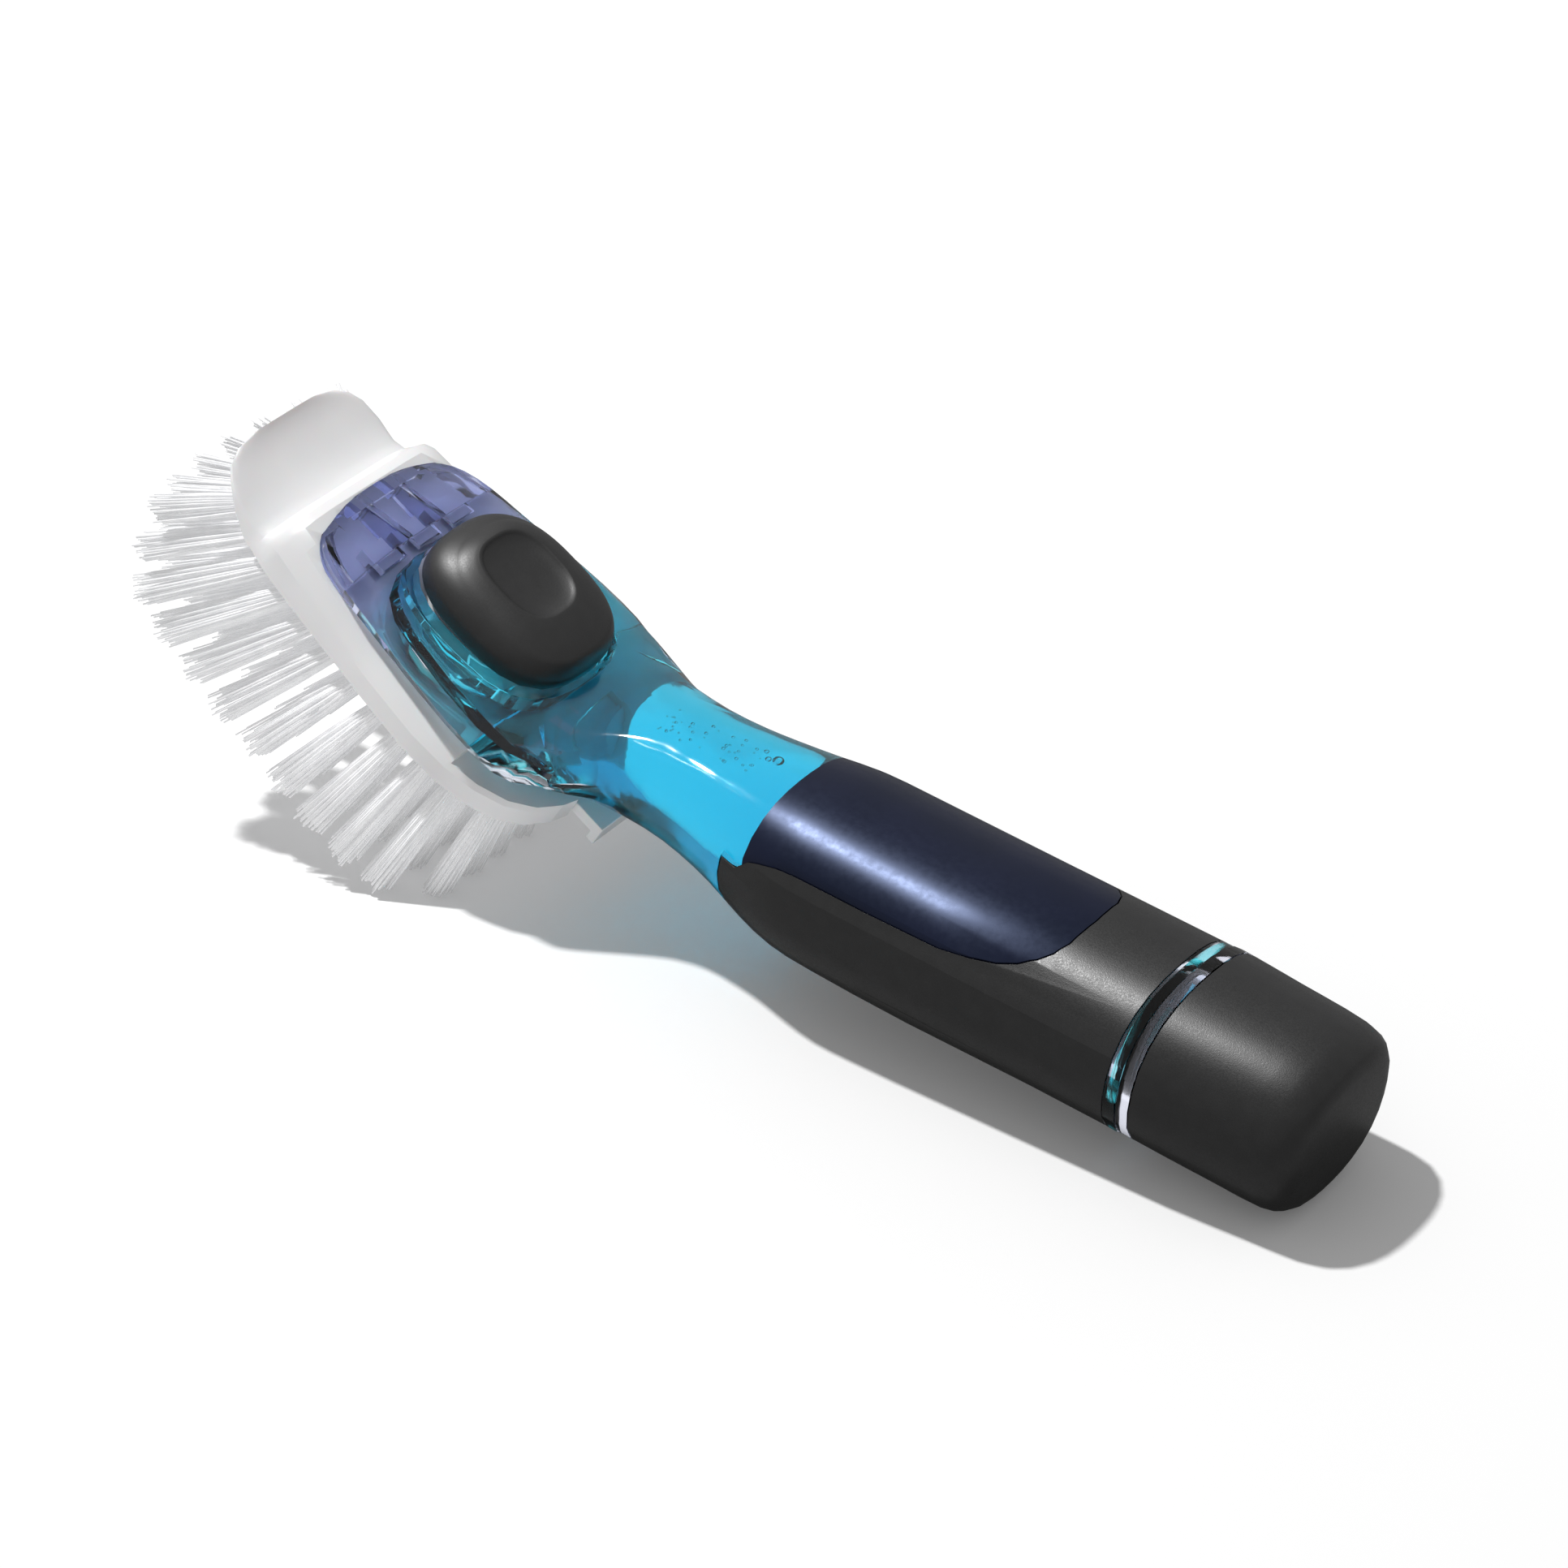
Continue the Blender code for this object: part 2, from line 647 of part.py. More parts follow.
def build_shell():
    shell = loft("reservoir_shell", sections(outer_rows()), handle_frame, CLEAR)

    # Seat of the grip: a wide band of space less the core that stays and the window's raised pad
    grip_rows = [flange_row()] + smooth_rows(handle_rows())
    space = loft("grip_space", sections(grip_rows, -OVERRUN), handle_frame)
    side = plate("grip_space_side", grip_side(GAP), -2 * HANDLE_HALF_WIDTH, 2 * HANDLE_HALF_WIDTH,
                 handle_frame, turn=SIDEWAYS)
    core = loft("grip_core", sections(grip_rows, GRIP_WALL + GAP), handle_frame)
    pad = plate("window_pad", grip_window(GAP), 0, 2 * HANDLE_HALF_HEIGHT, handle_frame)
    boolean(space, side, "INTERSECT")
    cut(space, core, pad)
    cut(shell, space)

    # Threaded mouth
    spigot = rod("mouth_spigot", SPIGOT_RADIUS, CAP_LENGTH - BAND_FRONT - OVERRUN,
                 CAP_LENGTH - SPIGOT_END, cap_axis)
    ridge = thread_ridge("mouth_thread", SPIGOT_RADIUS - GAP, SPIGOT_RADIUS + THREAD_HEIGHT,
                         THREAD_START, cap_axis)
    join(shell, spigot, ridge)

    # Flat underside in front, left deeper behind
    underside = block("head_underside", (-2 * HEAD_FRONT, -2 * HEAD_HALF_WIDTH, -3 * HEAD_SKIRT),
                      (HEAD_STEP_AT, 2 * HEAD_HALF_WIDTH, -HEAD_FLOOR), head_frame)
    cut(shell, underside)

    # Inside, less the wall round the button's well
    well = outline(BUTTON_HALF_LENGTH + BUTTON_CLEARANCE + WELL_WALL,
                   BUTTON_HALF_WIDTH + BUTTON_CLEARANCE + WELL_WALL, BUTTON_POWER)
    inside = loft("reservoir_inside", sections(chamber_rows()), handle_frame)
    well_wall = plate("well_wall", well, LEDGE_BOTTOM, 3 * HEAD_CROWN, button_axis)
    mouth = rod("mouth_bore", MOUTH_RADIUS, CAP_LENGTH - BAND_FRONT - 2 * OVERRUN,
                CAP_LENGTH - SPIGOT_END + OVERRUN, cap_axis)
    cut(inside, well_wall)
    cut(shell, inside, mouth)

    # Button's well over a ledge, and the stepped opening for the valve plate
    well_bore = plate("well_bore", outline(BUTTON_HALF_LENGTH + BUTTON_CLEARANCE,
                                           BUTTON_HALF_WIDTH + BUTTON_CLEARANCE, BUTTON_POWER),
                      LEDGE_TOP, 3 * HEAD_CROWN, button_axis)
    ledge_bore = plate("ledge_bore", outline(BUTTON_HALF_LENGTH - LEDGE_WIDTH,
                                             BUTTON_HALF_WIDTH - LEDGE_WIDTH, BUTTON_POWER),
                       LEDGE_BOTTOM - FLOOR_TOP, LEDGE_TOP + GAP, button_axis)
    floor_seat = plate("floor_seat", outline(FLOOR_HALF_LENGTH + GAP, FLOOR_HALF_WIDTH + GAP,
                                             BUTTON_POWER),
                       -HEAD_FLOOR - OVERRUN,
                       -HEAD_FLOOR + FLOOR_FLANGE + HEAD_GASKET + 2 * GAP, button_axis)
    floor_bore = plate("floor_bore", outline(FLOOR_HALF_LENGTH - FLOOR_LEDGE_WIDTH,
                                             FLOOR_HALF_WIDTH - FLOOR_LEDGE_WIDTH, BUTTON_POWER),
                       -HEAD_FLOOR - OVERRUN, LEDGE_BOTTOM - GAP, button_axis)
    cut(shell, well_bore, ledge_bore, floor_seat, floor_bore)

    # Hollow in front of the chamber with two ribs, its slots and the undercuts for the hooks
    front_rows = []
    for place, width, crown in smooth_rows(HEAD_ROW_SHARES[4:8]):
        along = place * HEAD_FRONT
        if POCKET_BACK < along < POCKET_FRONT:
            front_rows.append((along, width * HEAD_HALF_WIDTH - HEAD_WALL, crown * HEAD_CROWN))
    front_rows.insert(0, (POCKET_BACK, *front_rows[0][1:]))
    pocket_sections = []
    for along, half_width, crown in front_rows:
        x, z = head_to_handle(along, -HEAD_WAIST)
        pocket_sections.append(section((x, z, HEAD_TILT, half_width, crown + HEAD_WAIST - CROWN_WALL,
                                        HEAD_SKIRT - HEAD_WAIST)))
    pocket = loft("front_pocket", pocket_sections, handle_frame)
    for side_sign in (-1, 1):
        middle = side_sign * HOOK_SPACING / 2
        rib = block("rib_space", (-2 * POCKET_FRONT, middle - RIB_WIDTH / 2, -HEAD_SKIRT),
                    (0, middle + RIB_WIDTH / 2, HEAD_CROWN), head_frame)
        cut(pocket, rib)
    cut(shell, pocket)
    for place in (-1, 0, 1):
        middle = place * HOOK_SPACING
        half = HOOK_WIDTH / 2 + GAP
        slot = block("hook_slot", (-2 * HEAD_FRONT, middle - half, -HEAD_SKIRT),
                     (-POCKET_BACK - GAP, middle + half, -HOOK_TOP + 2 * GAP), head_frame)
        tongue = -HOOK_STEM_BACK + HOOK_TONGUE + GAP
        undercut = block("hook_undercut",
                         (-POCKET_BACK - OVERRUN, middle - half,
                          -HOOK_TOP - HOOK_TONGUE_THICKNESS - GAP),
                         (tongue, middle + half, -HOOK_TOP + GAP), head_frame)
        cut(shell, slot, undercut)
    return shell


def build_grip():
    rows = [flange_row()] + smooth_rows(handle_rows())
    grip = loft("grip_sleeve", sections(rows), handle_frame, BLACK)
    side = plate("grip_side", grip_side(0), -2 * HANDLE_HALF_WIDTH, 2 * HANDLE_HALF_WIDTH,
                 handle_frame, turn=SIDEWAYS)
    hollow = loft("grip_hollow", sections(rows, GRIP_WALL), handle_frame)
    window = plate("grip_window", grip_window(0), -GAP, 2 * HANDLE_HALF_HEIGHT, handle_frame)
    boolean(grip, side, "INTERSECT")
    cut(grip, hollow, window)
    return grip


def build_cap():
    cap = loft("end_cap", sections(smooth_rows(cap_rows())), handle_frame, BLACK)
    roof = [row for row in smooth_rows(cap_rows()) if -row[0] > CAP_ROOF]
    first = roof[0]
    roof.insert(0, (-CAP_ROOF, *first[1:]))
    roof.append((-CAP_LENGTH - OVERRUN, *roof[-1][1:]))
    cut(cap, loft("cap_hollow", sections(roof, CAP_WALL), handle_frame))

    # Liner: body inside the cap and a rim as wide as the handle in front of it
    inner = [row for row in smooth_rows(cap_rows()) if -row[0] > LINER_FLOOR_AT]
    first = inner[0]
    last = inner[-1]
    inner.insert(0, (-LINER_FLOOR_AT, *first[1:]))
    inner.append((-CAP_LENGTH - 2 * GAP, *last[1:]))
    liner = loft("cap_liner", sections(inner, CAP_WALL + GAP), handle_frame, CLEAR)
    rim = loft("liner_rim", [section((-CAP_LENGTH - GAP, *last[1:])),
                             section((-CAP_LENGTH - GAP - RIM_WIDTH, *last[1:]))], handle_frame)
    bore = rod("liner_bore", LINER_BORE_RADIUS, -RIM_WIDTH - OVERRUN,
               CAP_LENGTH - LINER_FLOOR_AT - LINER_FLOOR, cap_axis)
    ridge = thread_ridge("liner_thread", LINER_BORE_RADIUS + GAP, LINER_BORE_RADIUS - THREAD_HEIGHT,
                         THREAD_START + THREAD_PITCH / 2, cap_axis)
    join(liner, rim)
    cut(liner, bore)
    join(liner, ridge)

    gasket_low = CAP_LENGTH - SPIGOT_END + GAP
    washer("cap_gasket", LINER_BORE_RADIUS - GAP, MOUTH_RADIUS, gasket_low,
           gasket_low + GASKET_THICKNESS, cap_axis, SILICONE)


def build_button():
    rings = []
    hollows = []
    roof = BUTTON_HEIGHT - DIMPLE_DEPTH - DIMPLE_WALL
    for height, size in BUTTON_ROW_SHARES:
        back = BUTTON_DRAW_BACK * height ** 2
        rings.append([(x + back, y, BUTTON_RIM + height * BUTTON_HEIGHT) for x, y in
                      outline(size * BUTTON_HALF_LENGTH, size * BUTTON_HALF_WIDTH, BUTTON_POWER)])
        hollows.append([(x + back, y, BUTTON_RIM + height * roof) for x, y in
                        outline(size * BUTTON_HALF_LENGTH - BUTTON_WALL,
                                size * BUTTON_HALF_WIDTH - BUTTON_WALL, BUTTON_POWER)])
    hollows[0] = [(x, y, z - OVERRUN) for x, y, z in hollows[0]]
    button = loft("thumb_button", rings, button_axis, BLACK)
    bm = bmesh.new()
    top = BUTTON_RIM + BUTTON_HEIGHT
    place = Matrix.Translation((BUTTON_DRAW_BACK, 0, top + DIMPLE_BALL_HEIGHT - DIMPLE_DEPTH))
    size = Matrix.Diagonal((DIMPLE_HALF_LENGTH, DIMPLE_HALF_WIDTH, DIMPLE_BALL_HEIGHT, 1))
    bmesh.ops.create_uvsphere(bm, u_segments=ROUND_STEPS, v_segments=ROUND_STEPS // 2, radius=1, matrix=place @ size)
    cut(button, loft("button_hollow", hollows, button_axis), from_bmesh("dimple", bm, button_axis, None))


def build_valve():
    plate_low = LEDGE_TOP + GAP
    plate_top = plate_low + PLATE_THICKNESS
    reach = BUTTON_CLEARANCE - GAP
    button_plate = plate("button_plate", outline(BUTTON_HALF_LENGTH + reach,
                                                 BUTTON_HALF_WIDTH + reach, BUTTON_POWER),
                         plate_low, plate_top, button_axis, WHITE)
    cut(button_plate, rod("plate_bore", ROD_RADIUS + GAP, plate_low - OVERRUN, plate_top + OVERRUN,
                          button_axis))

    # Valve plate: a flange under the shell's ledge, a plug, and a boss round the outlet
    flange_top = -HEAD_FLOOR + FLOOR_FLANGE
    inset = FLOOR_LEDGE_WIDTH + GAP
    chamber_floor = plate("chamber_floor", outline(FLOOR_HALF_LENGTH, FLOOR_HALF_WIDTH, BUTTON_POWER),
                          -HEAD_FLOOR, flange_top, button_axis, CLEAR)
    plug = plate("floor_plug", outline(FLOOR_HALF_LENGTH - inset, FLOOR_HALF_WIDTH - inset,
                                       BUTTON_POWER),
                 flange_top - GAP, -FLOOR_TOP, button_axis)
    boss = rod("floor_boss", BOSS_RADIUS, -FLOOR_TOP - GAP, BOSS_TOP, button_axis)
    bore = turned("outlet_bore", ((OUTLET_LIP_RADIUS, BOSS_TOP + OVERRUN),
                                  (OUTLET_LIP_RADIUS, BOSS_TOP - OUTLET_LIP),
                                  (OUTLET_RADIUS, BOSS_TOP - OUTLET_LIP),
                                  (OUTLET_RADIUS, -HEAD_FLOOR - OVERRUN),
                                  (0, -HEAD_FLOOR - OVERRUN), (0, BOSS_TOP + OVERRUN)), button_axis)
    join(chamber_floor, plug, boss)
    cut(chamber_floor, bore)

    gasket = plate("head_gasket", outline(FLOOR_HALF_LENGTH, FLOOR_HALF_WIDTH, BUTTON_POWER),
                   flange_top + GAP, flange_top + GAP + HEAD_GASKET, button_axis, SILICONE)
    gasket_bore = plate("gasket_bore", outline(FLOOR_HALF_LENGTH - FLOOR_LEDGE_WIDTH,
                                               FLOOR_HALF_WIDTH - FLOOR_LEDGE_WIDTH, BUTTON_POWER),
                        flange_top - OVERRUN, flange_top + OVERRUN, button_axis)
    cut(gasket, gasket_bore)

    strainer_low = -FLOOR_TOP + GAP
    strainer = washer("inlet_strainer", STRAINER_RADIUS, STRAINER_RADIUS - STRAINER_WALL,
                      strainer_low, strainer_low + STRAINER_HEIGHT, button_axis, WHITE)
    for i in range(STRAINER_SLOTS):
        slot = block("strainer_slot", (-STRAINER_SLOT / 2, 0, strainer_low + STRAINER_SLOT / 2),
                     (STRAINER_SLOT / 2, 2 * STRAINER_RADIUS, strainer_low + 2 * STRAINER_HEIGHT),
                     button_axis)
        slot.rotation_euler = (0, 0, 2 * math.pi * (i + 0.5) / STRAINER_SLOTS)
        cut(strainer, slot)

    seat_top = BOSS_TOP - OUTLET_LIP - GAP
    washer("valve_seat", OUTLET_RADIUS - GAP, OUTLET_LIP_RADIUS, seat_top - SEAT_THICKNESS, seat_top,
           button_axis, SILICONE)
    poppet_top = seat_top - SEAT_THICKNESS - GAP
    poppet_low = poppet_top - POPPET_THICKNESS
    washer("valve_poppet", POPPET_RADIUS, ROD_RADIUS + GAP, poppet_low, poppet_top, button_axis,
           SILICONE)

    clip_low = plate_top + SPRING_LENGTH + 2 * GAP
    clip_top = clip_low + CLIP_THICKNESS
    washer("plunger_clip", CLIP_RADIUS, ROD_RADIUS + GAP, clip_low, clip_top, button_axis, WHITE)
    head_top = poppet_low - GAP
    rod_top = BUTTON_RIM + BUTTON_HEIGHT - DIMPLE_DEPTH - DIMPLE_WALL - GAP
    turned("plunger_rod", ((0, rod_top), (ROD_RADIUS, rod_top), (ROD_RADIUS, head_top),
                           (ROD_HEAD_RADIUS, head_top), (ROD_HEAD_RADIUS, head_top - ROD_HEAD),
                           (0, head_top - ROD_HEAD)), button_axis, WHITE)
    washer("rod_seal", ROD_SEAL_RADIUS, ROD_RADIUS + GAP, plate_top + GAP,
           plate_top + GAP + ROD_SEAL_THICKNESS, button_axis, SILICONE)

    # Return spring, one unbroken helix
    low = plate_top + GAP + SPRING_WIRE
    high = clip_low - GAP - SPRING_WIRE
    curve = bpy.data.curves.new("return_spring", "CURVE")
    curve.dimensions = "3D"
    curve.bevel_depth = SPRING_WIRE
    curve.bevel_resolution = 1
    curve.use_fill_caps = True
    spline = curve.splines.new("POLY")
    count = SPRING_TURNS * SPRING_STEPS
    spline.points.add(count)
    for k, point in enumerate(spline.points):
        angle = 2 * math.pi * SPRING_TURNS * k / count
        point.co = (SPRING_RADIUS * math.cos(angle), SPRING_RADIUS * math.sin(angle),
                    low + (high - low) * k / count, 1)
    centres = [point.co.to_3d() for point in spline.points]
    least = min((far - near).length for i, near in enumerate(centres)
                for far in centres[i + SPRING_STEPS // 2:])
    print("return_spring, least gap to itself in mm:", round((least - 2 * SPRING_WIRE) * 1000, 3))
    curve.materials.append(STEEL)
    spring = bpy.data.objects.new("return_spring", curve)
    parts.objects.link(spring)
    spring.parent = button_axis


def half_section(along, half_width, low, high, power=BASE_POWER):
    """A flat-bottomed section across the head, rounded above, as points of the head frame."""
    points = []
    half = RING_POINTS // 2
    for i in range(half + 1):
        angle = math.pi * i / half
        across = math.copysign(abs(math.cos(angle)) ** (2 / power), math.cos(angle))
        points.append((-along, half_width * across,
                       low + (high - low) * abs(math.sin(angle)) ** (2 / power)))
    for i in range(1, 4):
        points.append((-along, half_width * (i / 2 - 1), low))
    return points


def bed_rows():
    return [(place * (BED_FRONT if place > 0 else BED_BACK),
             width * (BASE_HALF_WIDTH - BASE_WALL), rise * BED_LIP_RISE)
            for place, width, rise in BED_ROW_SHARES]


CEILING = -HEAD_FLOOR - GAP - BASE_PLATE


def flat_section(along, half_width, low, high):
    return [(-along, -half_width, low), (-along, half_width, low),
            (-along, half_width, high), (-along, -half_width, high)]


def build_base():
    rings = []
    for place, width, rise, height in BASE_ROW_SHARES:
        rings.append(half_section(place * (BASE_FRONT if place > 0 else BASE_BACK),
                                  width * BASE_HALF_WIDTH, -BASE_BOTTOM + rise * BASE_LIP_RISE,
                                  -BASE_BOTTOM + height * HOOD_HEIGHT))
    base = loft("brush_base", rings, head_frame, WHITE)

    # Room for the shell, flat in front of the step and lower behind it
    room = loft("shell_room", sections(outer_rows(), -GAP), handle_frame)
    below = block("room_floor", (-2 * HEAD_FRONT, -2 * HEAD_HALF_WIDTH, -3 * HEAD_SKIRT),
                  (HEAD_STEP_AT - GAP, 2 * HEAD_HALF_WIDTH, -HEAD_FLOOR - GAP), head_frame)
    cut(room, below)
    behind = block("room_behind", (HEAD_STEP_AT - GAP, -2 * HEAD_HALF_WIDTH, -HEAD_SKIRT - 2 * GAP),
                   (2 * BASE_BACK, 2 * HEAD_HALF_WIDTH, HEAD_SKIRT), head_frame)
    bed = loft("bristle_bed_room", [flat_section(along, half_width, -BASE_BOTTOM - OVERRUN,
                                                 CEILING + rise)
                                    for along, half_width, rise in bed_rows()], head_frame)
    cut(base, room, behind, bed)

    # Outlet bore with a counterbore above
    grommet_top = -HEAD_FLOOR - 2 * GAP
    seat = grommet_top - GROMMET_FLANGE - GAP
    bore = turned("grommet_bore", ((GROMMET_FLANGE_RADIUS + GAP, -HEAD_FLOOR + OVERRUN),
                                   (GROMMET_FLANGE_RADIUS + GAP, seat), (GROMMET_RADIUS + GAP, seat),
                                   (GROMMET_RADIUS + GAP, -BASE_BOTTOM - OVERRUN),
                                   (0, -BASE_BOTTOM - OVERRUN), (0, -HEAD_FLOOR + OVERRUN)),
                  button_axis)
    cut(base, bore)
    turned("outlet_grommet", ((GROMMET_FLANGE_RADIUS, grommet_top),
                              (GROMMET_FLANGE_RADIUS, grommet_top - GROMMET_FLANGE),
                              (GROMMET_RADIUS, grommet_top - GROMMET_FLANGE),
                              (GROMMET_RADIUS, grommet_top - GROMMET_LENGTH),
                              (GROMMET_BORE, grommet_top - GROMMET_LENGTH),
                              (GROMMET_BORE, grommet_top)), button_axis, SILICONE)

    # Hooks with tongues that point back under the chamber's front wall
    tongue_low = -HOOK_TOP - HOOK_TONGUE_THICKNESS
    hook = ((-HOOK_STEM_FRONT, -HEAD_FLOOR - OVERRUN), (-HOOK_STEM_BACK, -HEAD_FLOOR - OVERRUN),
            (-HOOK_STEM_BACK, tongue_low), (-HOOK_STEM_BACK + HOOK_TONGUE, tongue_low),
            (-HOOK_STEM_BACK + HOOK_TONGUE, -HOOK_TOP), (-HOOK_STEM_FRONT, -HOOK_TOP))
    for place in (-1, 0, 1):
        middle = place * HOOK_SPACING
        join(base, plate("hook", hook, middle - HOOK_WIDTH / 2, middle + HOOK_WIDTH / 2, head_frame,
                         turn=SIDEWAYS))

    # Slot for the release tab and the bore of its pin
    slot_half = TAB_HALF_WIDTH + GAP
    slot = block("tab_slot", (-TAB_FORWARD - GAP, -slot_half, -BASE_BOTTOM),
                 (TAB_LENGTH, slot_half, BASE_BOTTOM), tab_axis)
    pin_hole = rod("pin_hole", PIN_RADIUS + GAP, -slot_half - PIN_REACH - OVERRUN,
                   slot_half + PIN_REACH + OVERRUN, tab_axis, turn=SIDEWAYS)
    cut(base, slot, pin_hole)
    return base


def build_tab():
    half = TAB_THICKNESS / 2
    profile = ((-TAB_FORWARD, -half), (TAB_LENGTH - TAB_LIP_THICKNESS, -half),
               (TAB_LENGTH - TAB_LIP_THICKNESS, -half - TAB_LIP_DROP),
               (TAB_LENGTH, -half - TAB_LIP_DROP), (TAB_LENGTH, half),
               (TAB_CATCH_AT + TAB_CATCH_LENGTH, half), (TAB_CATCH_AT, half + TAB_CATCH_RISE),
               (TAB_CATCH_AT, half), (-TAB_FORWARD, half))
    tab = plate("release_tab", profile, -TAB_HALF_WIDTH, TAB_HALF_WIDTH, tab_axis, WHITE, turn=SIDEWAYS)
    cut(tab, rod("tab_pin_bore", PIN_RADIUS + GAP, -2 * TAB_HALF_WIDTH, 2 * TAB_HALF_WIDTH, tab_axis,
                 turn=SIDEWAYS))
    reach = TAB_HALF_WIDTH + PIN_REACH
    rod("tab_pin", PIN_RADIUS, -reach, reach, tab_axis, STEEL, turn=SIDEWAYS)


def rest_height():
    """Height of the handle frame's origin that sets the cap's lowest edge on the floor."""
    lowest = 0.0
    for row in smooth_rows(cap_rows()):
        for x, y, z in section(row):
            lowest = min(lowest, z * math.cos(REST_TILT) - x * math.sin(REST_TILT))
    return -lowest


REST_HEIGHT = rest_height()


def bed_at(along):
    """Half width and rise of the bristle bed at a place along the head."""
    rows = bed_rows()
    for near, far in zip(rows, rows[1:]):
        if along <= far[0]:
            share = (along - near[0]) / (far[0] - near[0])
            return near[1] + (far[1] - near[1]) * share, near[2] + (far[2] - near[2]) * share
    return rows[-1][1], rows[-1][2]


def lip_rise(along):
    """Rise of the brush base's lower edge at a place along the head."""
    rows = [(place * (BASE_FRONT if place > 0 else BASE_BACK), rise * BASE_LIP_RISE)
            for place, width, rise, height in BASE_ROW_SHARES]
    for near, far in zip(rows, rows[1:]):
        if along <= far[0]:
            return near[1] + (far[1] - near[1]) * (along - near[0]) / (far[0] - near[0])
    return rows[-1][1]


def noise(i, j, k):
    value = math.sin(i * 12.9898 + j * 78.233 + k * 37.719) * 43758.5453
    return value - math.floor(value)


def tuft_place(row):
    """Place of a row of tufts along the head."""
    first = -BED_BACK + FIRST_TUFT_INSET
    last = BED_FRONT - LAST_TUFT_INSET
    return first + (last - first) * row / (TUFT_ROWS - 1)


def strands():
    """Root and tip of every strand, as points of the head frame."""
    result = []
    first = tuft_place(0)
    last = tuft_place(TUFT_ROWS - 1)
    for i in range(TUFT_ROWS):
        along = tuft_place(i)
        ahead = (along - UPRIGHT_AT) / (last - UPRIGHT_AT)
        behind = (UPRIGHT_AT - along) / (UPRIGHT_AT - first)
        lean = FRONT_LEAN * ahead ** LEAN_POWER if ahead > 0 else -BACK_LEAN * behind
        stretch = min(1 / math.cos(lean), ROOT_STRETCH)
        edge_lean = SIDE_LEAN + (NOSE_SIDE_LEAN - SIDE_LEAN) * max(0.0, along / last)
        half_width, rise = bed_at(along)
        low = CEILING - GAP - BACKING + rise
        wall_depth = max(0.0, low + BASE_BOTTOM - lip_rise(along + TUFT_CLEARANCE))
        ahead_by = wall_depth * abs(math.tan(lean)) + TUFT_CLEARANCE
        half_width = min(half_width, bed_at(along + ahead_by / 2)[0], bed_at(along - TUFT_CLEARANCE)[0])
        half_width -= (TUFT_CLEARANCE + TUFT_ROOT_RADIUS / math.cos(edge_lean) ** 2
                       + wall_depth * math.tan(edge_lean) / math.cos(lean))
        shorter = max(0.0, (along - SHORTER_FROM) / (last - SHORTER_FROM)) ** 2
        tip_radius = min(TUFT_TIP_RADIUS, TUFT_TIP_SHARE * 2 * half_width / (TUFT_COLUMNS - 1))
        length = STRAND_LENGTH - (STRAND_LENGTH - NOSE_STRAND_LENGTH) * shorter
        for j in range(TUFT_COLUMNS):
            side = 2 * j / (TUFT_COLUMNS - 1) - 1
            across = side * half_width
            if math.hypot(along + BUTTON_SET_BACK, across) < GROMMET_RADIUS + GROMMET_ROOM:
                continue
            side_lean = edge_lean * side
            splay = 1 / math.cos(side_lean) ** 2
            for k in range(STRANDS_IN_TUFT):
                turn = 2 * math.pi * (k / STRANDS_IN_TUFT + noise(i, j, 7) / STRANDS_IN_TUFT)
                root = Vector((-along + stretch * TUFT_ROOT_RADIUS * math.cos(turn),
                               across + splay * TUFT_ROOT_RADIUS * math.sin(turn),
                               low + BACKING / 2))
                heading = Vector((-math.sin(lean) * math.cos(side_lean), math.sin(side_lean),
                                  -math.cos(lean) * math.cos(side_lean)))
                sideways = Vector((0, 1, 0)).cross(heading).normalized()
                other = heading.cross(sideways)
                spread = tip_radius - TUFT_ROOT_RADIUS
                reach = length * (1 - noise(i, j, k) * STRAND_RAGGED_SHARE)
                tip = (root + heading * (reach + BACKING / 2)
                       + (sideways * -math.cos(turn) + other * math.sin(turn)) * spread)
                root_height = world_height(root)
                tip_height = world_height(tip)
                if tip_height < -FLOOR_TRIM:
                    share = (root_height + FLOOR_TRIM) / (root_height - tip_height)
                    tip = root + (tip - root) * share
                result.append((root, tip))
    return result


def world_height(point):
    x, z = head_to_handle(-point.x, point.z)
    return REST_HEIGHT + z * math.cos(REST_TILT) - x * math.sin(REST_TILT)


def world_reach(point):
    x, z = head_to_handle(-point.x, point.z)
    return x * math.cos(REST_TILT) + z * math.sin(REST_TILT)


def strand_mesh(name, pairs):
    bm = bmesh.new()
    for root, tip in pairs:
        heading = (tip - root).normalized()
        sideways = Vector((0, 1, 0)).cross(heading).normalized()
        other = heading.cross(sideways)
        rings = []
        for centre, radius in ((root, STRAND_RADIUS), (tip, STRAND_TIP_SHARE * STRAND_RADIUS)):
            rings.append([bm.verts.new(centre + (sideways * math.cos(angle) + other * math.sin(angle))
                                       * radius)
                          for angle in (0, 2 * math.pi / 3, 4 * math.pi / 3)])
        for m in range(3):
            n = (m + 1) % 3
            bm.faces.new((rings[0][m], rings[0][n], rings[1][n], rings[1][m]))
        bm.faces.new(rings[0])
        bm.faces.new(rings[1])
    bmesh.ops.recalc_face_normals(bm, faces=bm.faces)
    return from_bmesh(name, bm, head_frame, None)


def backing_rings(low, high):
    """Sections of the bristle backing between two places along the head."""
    rows = [row for row in bed_rows() if low < row[0] < high]
    rings = []
    for along in [low] + [row[0] for row in rows] + [high]:
        half_width, rise = bed_at(along)
        rings.append(flat_section(along, half_width - GAP, CEILING - GAP - BACKING + rise,
                                  CEILING - GAP + rise))
    return rings


